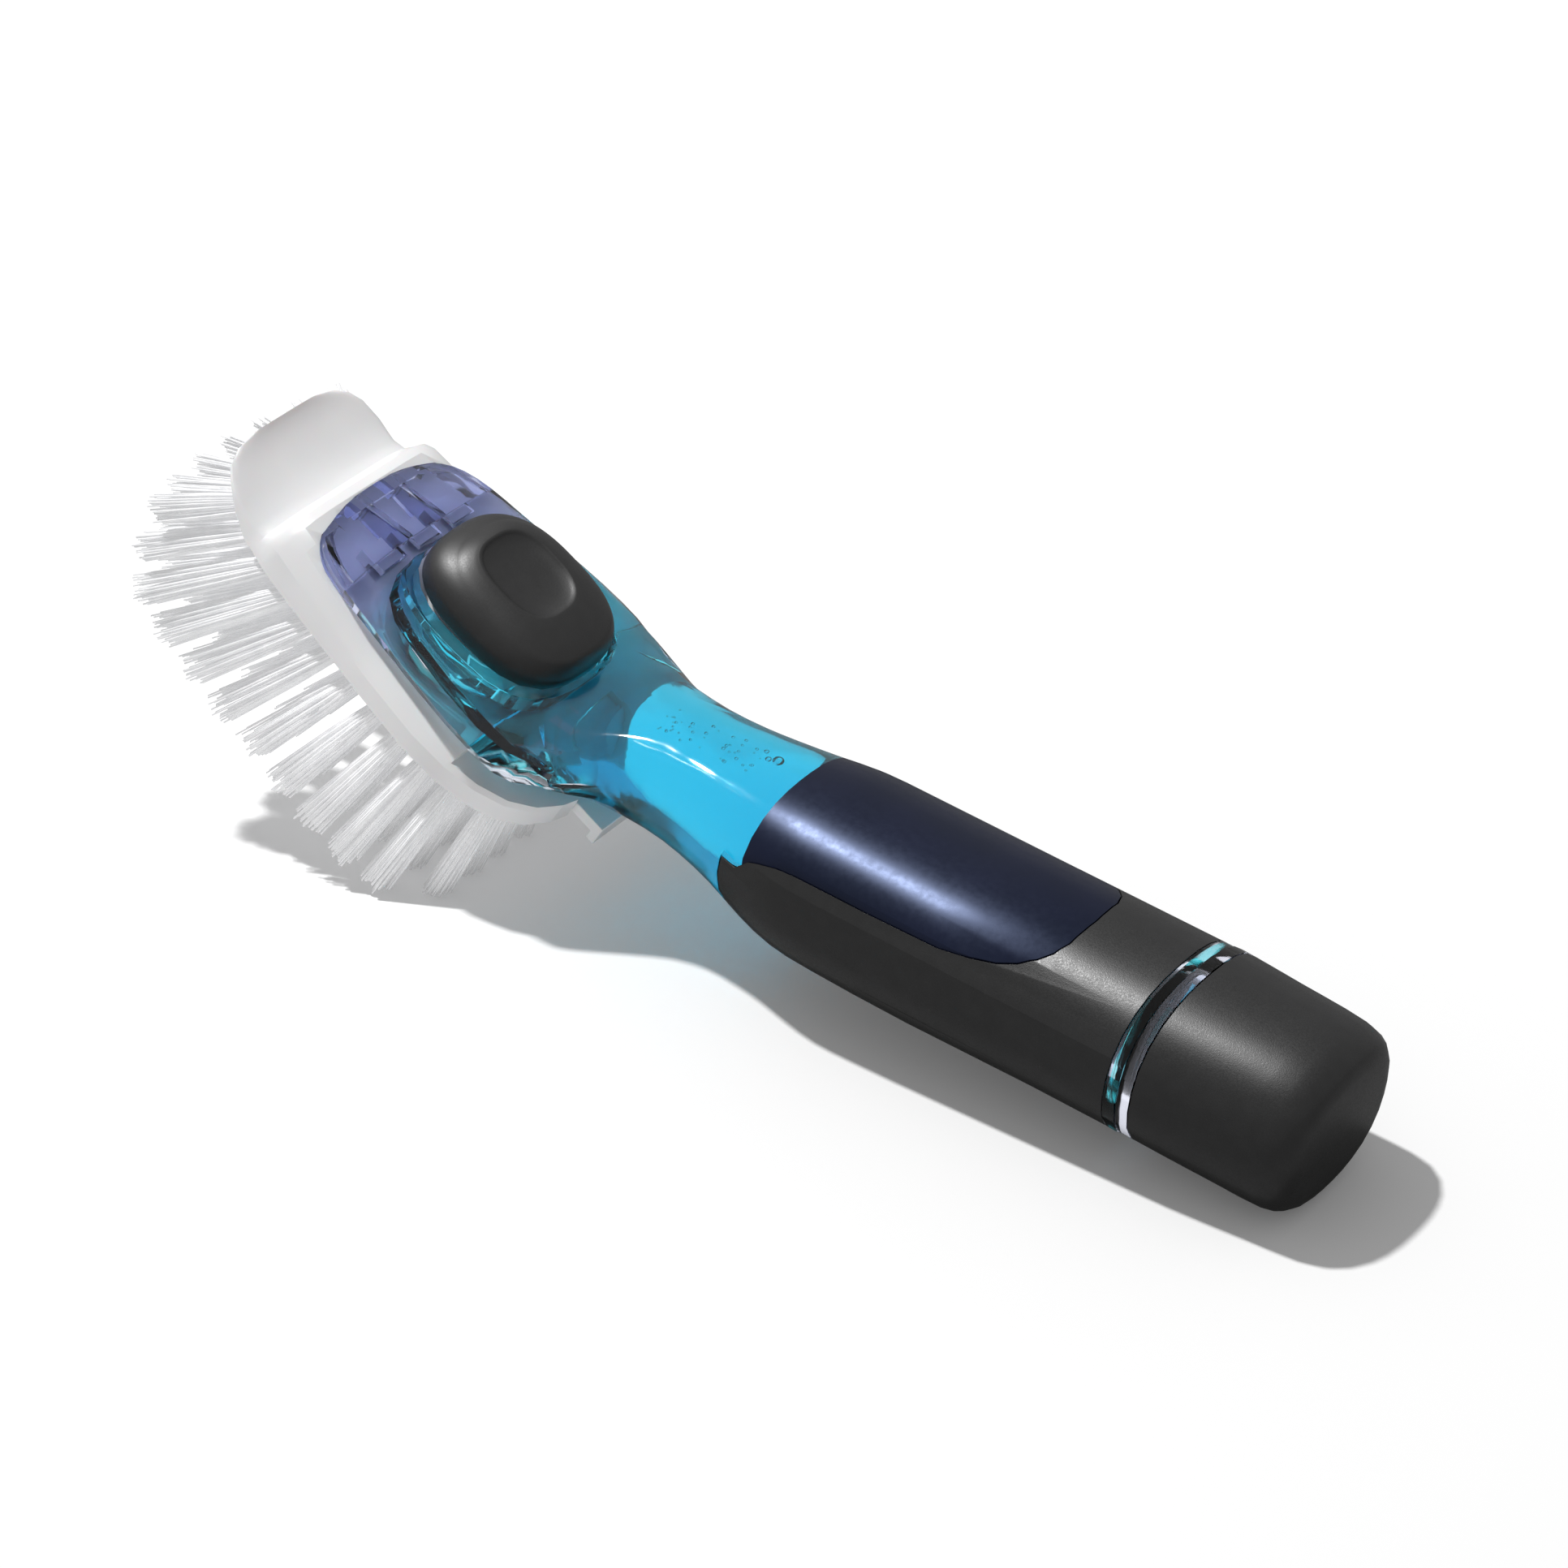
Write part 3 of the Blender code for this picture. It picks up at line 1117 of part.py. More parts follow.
def build_bristles():
    pairs = strands()
    behind, ahead = [tuft_place(row - 0.5) for row in BACKING_SPLIT_ROWS]
    fields = (("bristles_rear", -BED_BACK + GAP, behind - GAP / 2),
              ("bristles_middle", behind + GAP / 2, ahead - GAP / 2),
              ("bristles_front", ahead + GAP / 2, BED_FRONT - GAP))
    floor = block("floor_space", (-HEAD_DISTANCE * 2, -HANDLE_RUN, -HANDLE_RUN),
                  (HEAD_DISTANCE, HANDLE_RUN, 0), None)
    for name, low, high in fields:
        own = [pair for pair in pairs if low < -(pair[0].x) <= high]
        backing = loft(name, backing_rings(low, high), head_frame, NYLON)
        join(backing, strand_mesh(name + "_strands", own))
        if name == "bristles_middle":
            cut(backing, rod("grommet_room", GROMMET_RADIUS + 2 * GAP, CEILING - 3 * BACKING,
                             CEILING + BACKING, button_axis))
        if min(world_height(tip) for root, tip in own) < STRAND_RADIUS:
            cut(backing, floor)
    return min(world_reach(tip) for root, tip in pairs)


build_shell()
build_grip()
build_cap()
build_button()
build_valve()
build_base()
build_tab()
front_reach = build_bristles()

end_reach = max(x * math.cos(REST_TILT) + z * math.sin(REST_TILT)
                for row in cap_rows() for x, y, z in section(row))
handle_frame.location = (-(front_reach + end_reach) / 2, 0, REST_HEIGHT)
bpy.context.view_layer.update()
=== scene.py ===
import bpy
import bmesh
import math
import random
from mathutils import Matrix, Vector


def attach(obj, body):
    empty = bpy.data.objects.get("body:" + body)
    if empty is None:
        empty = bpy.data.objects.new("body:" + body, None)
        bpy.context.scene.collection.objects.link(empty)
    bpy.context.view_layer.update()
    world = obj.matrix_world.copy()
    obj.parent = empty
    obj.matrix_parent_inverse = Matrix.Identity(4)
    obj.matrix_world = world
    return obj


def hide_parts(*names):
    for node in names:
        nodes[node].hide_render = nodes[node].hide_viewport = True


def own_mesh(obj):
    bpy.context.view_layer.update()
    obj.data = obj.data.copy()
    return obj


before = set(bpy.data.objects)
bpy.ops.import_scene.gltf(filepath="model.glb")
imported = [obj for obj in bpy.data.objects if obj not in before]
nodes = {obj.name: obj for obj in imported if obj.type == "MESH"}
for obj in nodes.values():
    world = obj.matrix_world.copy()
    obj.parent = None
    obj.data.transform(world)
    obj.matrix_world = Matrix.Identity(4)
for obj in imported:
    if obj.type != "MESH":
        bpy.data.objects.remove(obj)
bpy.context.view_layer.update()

# how the brush lies: the handle's own axes start at the cap's end, the head is tilted up from them
brushPose = {"capEnd": (0.143147, 0.0, 0.017462), "restTilt": 7.2, "headTilt": 24.4,
             "headPlace": (-0.2235, 0.0, 0.0143), "buttonBack": 0.0127}
handleAxes = (Matrix.Translation(brushPose["capEnd"])
              @ Matrix.Rotation(math.radians(brushPose["restTilt"]), 4, "Y"))
headAxes = (handleAxes @ Matrix.Translation(brushPose["headPlace"])
            @ Matrix.Rotation(math.radians(brushPose["headTilt"]), 4, "Y"))
buttonAxes = headAxes @ Matrix.Translation((brushPose["buttonBack"], 0, 0))
print("frame loaded:", len(nodes), "nodes")


# materials; most of a noise lies between these values
noiseRange = {"low": 0.3, "high": 0.7, "dark": 0.32, "light": 0.68}


def setSockets(node, values):
    for socket, value in values.items():
        node.inputs[socket.replace("_", " ")].default_value = value
    return node


def addNode(tree, kind, **values):
    return setSockets(tree.nodes.new(kind), values)


def feedShader(made, output, socket):
    made.node_tree.links.new(output, made.node_tree.nodes["Principled BSDF"].inputs[socket])


def newMaterial(name, colour, roughness, **values):
    made = bpy.data.materials.new(name)
    made.use_nodes = True
    shader = made.node_tree.nodes["Principled BSDF"]
    setSockets(shader, {"Base Color": (*colour, 1), "Roughness": roughness})
    setSockets(shader, values)
    return made


def addNoise(made, scale, detail=2.0, stretch=(1, 1, 1)):
    tree = made.node_tree
    place = addNode(tree, "ShaderNodeTexCoord")
    mapping = addNode(tree, "ShaderNodeMapping", Scale=stretch)
    noise = addNode(tree, "ShaderNodeTexNoise", Scale=scale, Detail=detail)
    tree.links.new(place.outputs["Object"], mapping.inputs["Vector"])
    tree.links.new(mapping.outputs["Vector"], noise.inputs["Vector"])
    return noise.outputs["Fac"]


def addRamp(made, source, stops):
    # the shader's colour, from a value and the colours at its stops
    ramp = addNode(made.node_tree, "ShaderNodeValToRGB")
    while len(ramp.color_ramp.elements) < len(stops):
        ramp.color_ramp.elements.new(0.5)
    for element, (stop, colour) in zip(ramp.color_ramp.elements, stops):
        element.position = stop
        element.color = (*colour, 1)
    made.node_tree.links.new(source, ramp.inputs["Fac"])
    feedShader(made, ramp.outputs["Color"], "Base Color")


def varyRoughness(made, source, low, high):
    spread = addNode(made.node_tree, "ShaderNodeMapRange", From_Min=noiseRange["low"],
                     From_Max=noiseRange["high"], To_Min=low, To_Max=high)
    made.node_tree.links.new(source, spread.inputs["Value"])
    feedShader(made, spread.outputs["Result"], "Roughness")


def varyColour(made, source, dark, light):
    addRamp(made, source, ((noiseRange["dark"], dark), (noiseRange["light"], light)))


def fadeAlong(made, axes, stops):
    # colours that fade into each other at places along one axis, in metres
    tree = made.node_tree
    axis = axes.to_3x3() @ Vector((1, 0, 0))
    zero = axis.dot(axes.translation)
    start, end = stops[0][0], stops[-1][0]
    place = addNode(tree, "ShaderNodeTexCoord")
    along = addNode(tree, "ShaderNodeVectorMath")
    along.operation = "DOT_PRODUCT"
    along.inputs[1].default_value = axis
    spread = addNode(tree, "ShaderNodeMapRange", From_Min=start + zero, From_Max=end + zero)
    tree.links.new(place.outputs["Object"], along.inputs[0])
    tree.links.new(along.outputs["Value"], spread.inputs["Value"])
    addRamp(made, spread.outputs["Result"],
            [((stop - start) / (end - start), colour) for stop, colour in stops])


def addBumps(made, *layers):
    tree = made.node_tree
    last = None
    for source, strength, distance in layers:
        bump = addNode(tree, "ShaderNodeBump", Strength=strength, Distance=distance)
        tree.links.new(source, bump.inputs["Height"])
        if last:
            tree.links.new(last, bump.inputs["Normal"])
        last = bump.outputs["Normal"]
    feedShader(made, last, "Normal")


def newClear(name):
    # clear moulding with a faint violet tint and slow waves from the mould
    made = newMaterial(name, (0.84, 0.86, 0.97), 0.05, Transmission_Weight=1.0, IOR=1.47)
    varyRoughness(made, addNoise(made, 240), 0.03, 0.07)
    addBumps(made, (addNoise(made, 55), 0.05, 0.002))
    return made


# the body is clear at the neck and shows its violet tint at the nose; the fade also darkens the nose as
# painted shade of the block in shadow beneath it
clearPlastic = newClear("clearPlastic")
bodyTintPaintedShade = newClear("bodyTintPaintedShade")
fadeAlong(bodyTintPaintedShade, headAxes, ((-0.040, (0.70, 0.74, 0.90)), (-0.030, (0.54, 0.58, 0.80)),
                                  (-0.012, (0.50, 0.54, 0.78)), (0.008, (0.82, 0.87, 0.97))))

# the stretch over the grip is a dark navy satin
windowNavy = newMaterial("windowNavy", (0.003, 0.004, 0.014), 0.34, Specular_Tint=(0.50, 0.62, 1.0, 1.0),
                         Specular_IOR_Level=0.7)
varyColour(windowNavy, addNoise(windowNavy, 60), (0.001, 0.002, 0.010), (0.003, 0.004, 0.017))
varyRoughness(windowNavy, addNoise(windowNavy, 700), 0.31, 0.37)
addBumps(windowNavy, (addNoise(windowNavy, 55), 0.05, 0.002))

# soft black rubber of the grip and the cap: a fine speckle in the sheen
gripRubber = newMaterial("gripRubber", (0.006, 0.006, 0.0063), 0.40, Specular_IOR_Level=0.85,
                         Sheen_Weight=0.03, Sheen_Roughness=0.5)
varyColour(gripRubber, addNoise(gripRubber, 300), (0.005, 0.005, 0.0053), (0.008, 0.008, 0.0083))
varyRoughness(gripRubber, addNoise(gripRubber, 2600, 3.0), 0.34, 0.48)
addBumps(gripRubber, (addNoise(gripRubber, 4200), 0.22, 0.00012), (addNoise(gripRubber, 120), 0.04, 0.0008))

# the thumb pad is a little smoother than the grip
padRubber = newMaterial("padRubber", (0.006, 0.006, 0.0063), 0.40, Specular_IOR_Level=0.9, Coat_Weight=0.25,
                        Coat_Roughness=0.42)
varyColour(padRubber, addNoise(padRubber, 350), (0.005, 0.005, 0.0053), (0.008, 0.008, 0.0083))
varyRoughness(padRubber, addNoise(padRubber, 2600, 3.0), 0.43, 0.54)
addBumps(padRubber, (addNoise(padRubber, 4600), 0.20, 0.0001))

# satin white moulding of the brush block
blockWhite = newMaterial("blockWhite", (0.88, 0.88, 0.89), 0.36, Subsurface_Weight=0.12,
                         Subsurface_Scale=0.002)
varyColour(blockWhite, addNoise(blockWhite, 60), (0.87, 0.87, 0.88), (0.90, 0.90, 0.905))
varyRoughness(blockWhite, addNoise(blockWhite, 900), 0.31, 0.42)
addBumps(blockWhite, (addNoise(blockWhite, 1800), 0.05, 0.0001), (addNoise(blockWhite, 45), 0.03, 0.001))

# nylon filaments, lighter and greyer along their length, with a faint glow painted in as light scattered
# through them
tuftNylon = newMaterial("tuftNylon", (0.93, 0.935, 0.945), 0.34, Emission_Color=(1, 1, 1, 1),
                        Emission_Strength=0.13)
varyColour(tuftNylon, addNoise(tuftNylon, 420, stretch=(1, 1, 0.35)), (0.88, 0.885, 0.90), (0.96, 0.96, 0.97))
varyRoughness(tuftNylon, addNoise(tuftNylon, 1500), 0.28, 0.42)

# parts inside: soft seals, guide plate and clip, steel wire
sealGrey = newMaterial("sealGrey", (0.62, 0.64, 0.66), 0.5)
varyRoughness(sealGrey, addNoise(sealGrey, 900), 0.42, 0.58)
addBumps(sealGrey, (addNoise(sealGrey, 1500), 0.08, 0.0001))
guideWhite = newMaterial("guideWhite", (0.78, 0.79, 0.80), 0.4)
varyRoughness(guideWhite, addNoise(guideWhite, 700), 0.34, 0.48)
addBumps(guideWhite, (addNoise(guideWhite, 1200), 0.05, 0.0001))
springWire = newMaterial("springWire", (0.60, 0.60, 0.61), 0.25, Metallic=1.0)
varyRoughness(springWire, addNoise(springWire, 1500, stretch=(1, 1, 6)), 0.18, 0.34)

# blue soap, deeper in colour where it is deeper, and the air in it
soapBlue = newMaterial("soapBlue", (0.20, 0.95, 0.97), 0.02, Transmission_Weight=1.0, IOR=1.35)
soapDepth = addNode(soapBlue.node_tree, "ShaderNodeVolumeAbsorption", Color=(0.0, 0.85, 0.93, 1), Density=118)
soapBlue.node_tree.links.new(soapDepth.outputs["Volume"],
                             soapBlue.node_tree.nodes["Material Output"].inputs["Volume"])
addBumps(soapBlue, (addNoise(soapBlue, 70), 0.05, 0.001))
airBubble = newMaterial("airBubble", (1, 1, 1), 0.0, Transmission_Weight=1.0, IOR=0.75)
addBumps(airBubble, (addNoise(airBubble, 500), 0.02, 0.0002))
print("materials made")


# tools for shaping
def selectOnly(piece):
    if bpy.context.object and bpy.context.object.mode != "OBJECT":
        bpy.ops.object.mode_set(mode="OBJECT")
    bpy.ops.object.select_all(action="DESELECT")
    piece.select_set(True)
    bpy.context.view_layer.objects.active = piece


def applyModifiers(piece):
    selectOnly(piece)
    for modifier in list(piece.modifiers):
        bpy.ops.object.modifier_apply(modifier=modifier.name)


def smoothByAngle(degrees):
    bpy.ops.object.shade_smooth_by_angle(angle=math.radians(degrees))


def giveMaterial(piece, made):
    piece.data.materials.clear()
    piece.data.materials.append(made)


def placeIn(axes, point):
    # a point in mm in one of the brush's axes, as a place in the frame
    return axes @ (Vector(point) / 1000)


def roundEdges(piece, width, corner, hardened=False):
    # edges that turn by more than corner degrees
    rounding = piece.modifiers.new("edgeRound", "BEVEL")
    rounding.harden_normals = hardened
    rounding.width = width
    rounding.segments = 2
    rounding.limit_method = "ANGLE"
    rounding.angle_limit = math.radians(corner)
    rounding.use_clamp_overlap = True
    applyModifiers(piece)


def booleanCut(piece, cutter):
    modifier = piece.modifiers.new("cut", "BOOLEAN")
    modifier.operation = "DIFFERENCE"
    modifier.solver = "EXACT"
    modifier.object = cutter
    applyModifiers(piece)
    bpy.data.objects.remove(cutter, do_unlink=True)


def placeRing(mesh, face, before, ring):
    # the ring's corners, matched to where the face's corners stand now
    for vert in face.verts:
        nearest = min(range(len(before)), key=lambda i: (before[i] - vert.co).length_squared)
        vert.co = ring[nearest]
    bmesh.update_edit_mesh(mesh)


def extrudeThrough(pieceName, rings):
    # a filled circle, laid on the first ring and extruded from ring to ring
    bpy.ops.object.select_all(action="DESELECT")
    bpy.ops.mesh.primitive_circle_add(vertices=len(rings[0]), radius=0.02, fill_type="NGON")
    piece = bpy.context.active_object
    piece.name = pieceName
    piece.data.name = pieceName
    before = [vert.co.copy() for vert in piece.data.vertices]
    bpy.ops.object.mode_set(mode="EDIT")
    for number, ring in enumerate(rings):
        if number:
            bpy.ops.mesh.extrude_region_move()
        cage = bmesh.from_edit_mesh(piece.data)
        chosen = [face for face in cage.faces if face.select]
        placeRing(piece.data, chosen[0], before, ring)
        before = ring
    bpy.ops.mesh.select_all(action="DESELECT")
    bpy.ops.mesh.select_non_manifold(extend=False)
    cage = bmesh.from_edit_mesh(piece.data)
    if any(edge.select for edge in cage.edges):
        bpy.ops.mesh.edge_face_add()
    bpy.ops.mesh.select_all(action="SELECT")
    bpy.ops.mesh.normals_make_consistent(inside=False)
    bpy.ops.object.mode_set(mode="OBJECT")
    return piece


def ovalPoints(halfWidth, above, below, power, count):
    # points around an oval with squared shoulders, with its own height above and below the middle
    points = []
    for i in range(count):
        angle = 2 * math.pi * (i + 0.5) / count
        height = above if math.sin(angle) > 0 else below
        reach = (abs(math.cos(angle) / halfWidth) ** power
                 + abs(math.sin(angle) / height) ** power) ** (-1 / power)
        points.append((reach * math.cos(angle), reach * math.sin(angle)))
    return points


def smoothStations(stations, steps):
    # stations in between, on a smooth curve through the given ones
    result = []
    for i in range(len(stations) - 1):
        a, b = stations[max(i - 1, 0)], stations[i]
        c, d = stations[i + 1], stations[min(i + 2, len(stations) - 1)]
        for k in range(steps):
            t = k / steps
            result.append(tuple(q + (r - p) * t / 2 + (2 * p - 5 * q + 4 * r - s) * t * t / 2
                                + (3 * q - p - 3 * r + s) * t ** 3 / 2
                                for p, q, r, s in zip(a, b, c, d)))
    result.append(tuple(stations[-1]))
    return result


def rowAt(stations, along):
    # a station's values at a place between two given ones
    for near, far in zip(stations, stations[1:]):
        if along <= far[0]:
            share = (along - near[0]) / (far[0] - near[0])
            return [a + (b - a) * share for a, b in zip(near[1:], far[1:])]
    return stations[-1][1:]


# pieces made from their own nodes: node, body, material, smoothing angle, rounding of the edges, and
# whether the rounding keeps the flat faces' shading
softening = {"merge": 0.00001, "flat": 0.6, "corner": 38}
softCopies = {
    "clearBody": ("reservoir_shell", "handle", bodyTintPaintedShade, 34, 0.0003, False),
    "softGrip": ("grip_sleeve", "handle", gripRubber, 34, 0.0003, True),
    "capSkin": ("end_cap", "cap", gripRubber, 40, 0.0004, False),
    "capBand": ("cap_liner", "cap", clearPlastic, 34, 0.0002, False),
    "brushBlock": ("brush_base", "brush_head", blockWhite, 30, 0.0004, False),
    "releaseLever": ("release_tab", "latch", blockWhite, 30, 0.0004, False),
}


def softenedCopy(nodeName, pieceName, body, made, smoothAngle, edgeRound=0, hardened=False):
    # a merged copy of a node, its flat faces joined, its edges rounded and its curves shaded smooth
    selectOnly(nodes[nodeName])
    bpy.ops.object.duplicate()
    piece = bpy.context.active_object
    piece.name = pieceName
    piece.data.name = pieceName
    for key in list(piece.keys()):
        del piece[key]
    piece.parent = None
    selectOnly(piece)
    bpy.ops.object.mode_set(mode="EDIT")
    bpy.ops.mesh.select_all(action="SELECT")
    bpy.ops.mesh.remove_doubles(threshold=softening["merge"])
    bpy.ops.mesh.dissolve_limited(angle_limit=math.radians(softening["flat"]))
    bpy.ops.object.mode_set(mode="OBJECT")
    smoothByAngle(smoothAngle)
    if edgeRound:
        roundEdges(piece, edgeRound, softening["corner"], hardened)
    if not hardened:
        smoothByAngle(smoothAngle)
    giveMaterial(piece, made)
    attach(piece, body)
    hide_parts(nodeName)
    return piece


for pieceName, (nodeName, body, made, smoothAngle, edgeRound, hardened) in softCopies.items():
    softenedCopy(nodeName, pieceName, body, made, smoothAngle, edgeRound, hardened)
print("clear body, grip, cap and brush block done")


# dark window over the grip, cut square across the clear body
darkWindow = {"start": -132.6, "end": -60.2}


def tintWindow(piece):
    ends = [handleAxes @ Vector((darkWindow[end] / 1000, 0, 0)) for end in ("start", "end")]
    along = handleAxes.to_3x3() @ Vector((1, 0, 0))
    piece.data.materials.append(windowNavy)
    selectOnly(piece)
    bpy.ops.object.mode_set(mode="EDIT")
    for place in ends:
        bpy.ops.mesh.select_all(action="SELECT")
        bpy.ops.mesh.bisect(plane_co=place, plane_no=along)
    bpy.ops.mesh.select_all(action="DESELECT")
    bpy.ops.mesh.select_mode(type="FACE")
    cage = bmesh.from_edit_mesh(piece.data)
    for face in cage.faces:
        middle = face.calc_center_median()
        if (middle - ends[0]).dot(along) > 0 > (middle - ends[1]).dot(along):
            face.select_set(True)
    bmesh.update_edit_mesh(piece.data)
    piece.active_material_index = 1
    bpy.ops.object.material_slot_assign()
    bpy.ops.mesh.select_mode(type="VERT")
    bpy.ops.object.mode_set(mode="OBJECT")


tintWindow(bpy.data.objects["clearBody"])
print("dark window done")


# thumb pad: a rubber dome with a dimple for the thumb, its rings given as shares of height and size
thumbPad = {"halfLength": 20.6, "halfWidth": 16.8, "power": 2.7, "rim": 5.9, "height": 11.2, "wall": 1.9,
            "drawBack": 2.8, "dimpleAhead": 4.0, "dimpleEdge": 0.85, "dimpleBlend": 0.32, "roof": 7.6,
            "points": 112, "stepsBetween": 4, "rimRound": 0.0003, "corner": 60, "smoothAngle": 50,
            "dome": ((0.0, 1.0), (0.3, 1.0), (0.45, 0.98), (0.6, 0.93), (0.74, 0.85), (0.85, 0.75),
                     (0.93, 0.63), (0.962, 0.555)),
            "dimple": ((0.968, 0.530), (0.966, 0.515), (0.952, 0.498), (0.915, 0.462), (0.873, 0.39),
                       (0.845, 0.29), (0.829, 0.17), (0.824, 0.06))}


def padRing(height, size, tall, wall=0.0, ahead=0.0):
    # the pad leans back as it rises
    facts = thumbPad
    back = facts["drawBack"] * height ** 2 - ahead
    halfLength = size * facts["halfLength"] - wall
    halfWidth = size * facts["halfWidth"] - wall
    points = ovalPoints(halfLength, halfWidth, halfWidth, facts["power"], facts["points"])
    return [placeIn(buttonAxes, (x + back, y, facts["rim"] + height * tall)) for x, y in points]


def buildThumbPad():
    facts = thumbPad
    rings = [padRing(height, size, facts["roof"], wall=facts["wall"])
             for height, size in reversed(facts["dome"])]
    for height, size in smoothStations(facts["dome"] + facts["dimple"], facts["stepsBetween"]):
        inDimple = min(1.0, max(0.0, (facts["dimpleEdge"] - size) / facts["dimpleBlend"]))
        rings.append(padRing(height, size, facts["height"], ahead=facts["dimpleAhead"] * inDimple))
    piece = extrudeThrough("thumbPad", rings)
    roundEdges(piece, facts["rimRound"], facts["corner"])
    smoothByAngle(facts["smoothAngle"])
    giveMaterial(piece, padRubber)
    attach(piece, "button")
    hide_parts("thumb_button")


buildThumbPad()
print("thumb pad done")


# soap in the reservoir, in cross-sections: x, z, tilt in degrees, half width, height above, depth below
dishSoap = {"power": 2.4, "points": 64, "grow": 0.1, "wellGrow": 2.2, "wellLow": 0.9, "wellHigh": 30.0,
            "smoothAngle": 34,
            "stations": ((-18.0, 0, 0, 10.9, 10.9, 10.9), (-30.0, 0, 0, 10.9, 10.9, 10.9),
                         (-42.9, -0.2, 0, 10.9, 10.9, 10.9), (-43.1, -0.42, 0, 18.2, 14.1, 14.1),
                         (-59.18, -1.26, 0, 18.23, 14.13, 14.13), (-89.3, -3.19, 0, 18.4, 14.27, 14.27),
                         (-113.4, -4.12, 0, 18.27, 14.15, 14.15), (-124.24, -4.2, 0, 17.79, 13.77, 13.77),
                         (-133.28, -3.86, 0, 17.02, 13.33, 13.33), (-142.92, -2.77, 0, 15.31, 12.07, 12.07),
                         (-151.96, -2.1, 0, 13.75, 10.8, 10.8), (-161.6, -1.68, 0, 13.0, 10.2, 10.2),
                         (-171.96, -1.51, 10.98, 14.64, 9.3, 9.3), (-181.48, -3.28, 19.52, 19.58, 10.07, 6.87),
                         (-190.56, 0.02, 24.4, 24.98, 6.18, 1.5), (-197.42, 3.13, 24.4, 26.3, 5.42, 1.5),
                         (-206.91, 7.43, 24.4, 25.91, 5.42, 1.5), (-218.1, 12.51, 24.4, 24.2, 4.91, 1.5),
                         (-223.25, 14.85, 24.4, 22.88, 4.14, 1.5), (-227.53, 16.79, 24.4, 19.59, 3.46, 1.5),
                         (-230.15, 17.97, 24.4, 14.07, 3.12, 1.5), (-231.18, 18.44, 24.4, 7.63, 2.95, 1.5))}


def soapRing(station):
    facts = dishSoap
    x, z, tilt, halfWidth, above, below = station
    lean = math.radians(tilt)
    points = ovalPoints(halfWidth + facts["grow"], above + facts["grow"], below + facts["grow"],
                        facts["power"], facts["points"])
    return [placeIn(handleAxes, (x + lift * math.sin(lean), across, z + lift * math.cos(lean)))
            for across, lift in points]


def buildSoap():
    facts = dishSoap
    soap = extrudeThrough("dishSoap", [soapRing(station) for station in facts["stations"]])
    # room for the valve under the pad
    halfLength = thumbPad["halfLength"] + facts["wellGrow"]
    halfWidth = thumbPad["halfWidth"] + facts["wellGrow"]
    outline = ovalPoints(halfLength, halfWidth, halfWidth, thumbPad["power"], facts["points"])
    well = extrudeThrough("wellSpace", [[placeIn(buttonAxes, (x, y, height)) for x, y in outline]
                                        for height in (facts["wellLow"], facts["wellHigh"])])
    booleanCut(soap, well)
    smoothByAngle(facts["smoothAngle"])
    giveMaterial(soap, soapBlue)
    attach(soap, "handle")


buildSoap()
print("soap done")


# bubbles under the top of the neck: place along, place across and radius of the big ones
soapBubbles = {"seed": 7, "count": 46, "from": -168.0, "to": -141.0, "below": 0.55, "side": 4.2,
               "smallest": 0.16, "largest": 0.42, "bigFrom": 0.5,
               "big": ((-141.5, 3.4, 1.25), (-143.2, 2.2, 0.7), (-145.0, 3.9, 0.55))}


def buildBubbles():
    facts = soapBubbles
    spread = random.Random(facts["seed"])
    places = list(facts["big"])
    for _ in range(facts["count"]):
        places.append((spread.uniform(facts["from"], facts["to"]),
                       spread.uniform(-facts["side"], facts["side"]),
                       spread.uniform(facts["smallest"], facts["largest"])))
    stations = dishSoap["stations"][::-1]
    power = dishSoap["power"]
    bubbles = []
    for x, y, radius in places:
        middle, _, halfWidth, above, _ = rowAt(stations, x)
        roof = middle + above * (1 - abs(y / halfWidth) ** power) ** (1 / power)
        place = placeIn(handleAxes, (x, y, roof - facts["below"] - radius))
        bpy.ops.object.select_all(action="DESELECT")
        bpy.ops.mesh.primitive_ico_sphere_add(subdivisions=3 if radius > facts["bigFrom"] else 2,
                                              radius=radius / 1000, location=place)
        bubbles.append(bpy.context.active_object)
    bpy.ops.object.select_all(action="DESELECT")
    for bubble in bubbles:
        bubble.select_set(True)
    bpy.context.view_layer.objects.active = bubbles[0]
    bpy.ops.object.join()
    bpy.ops.object.transform_apply(location=True, rotation=True, scale=True)
    piece = bpy.context.active_object
    piece.name = "soapBubbles"
    bpy.ops.object.shade_smooth()
    giveMaterial(piece, airBubble)
    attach(piece, "handle")


buildBubbles()
print("bubbles done")


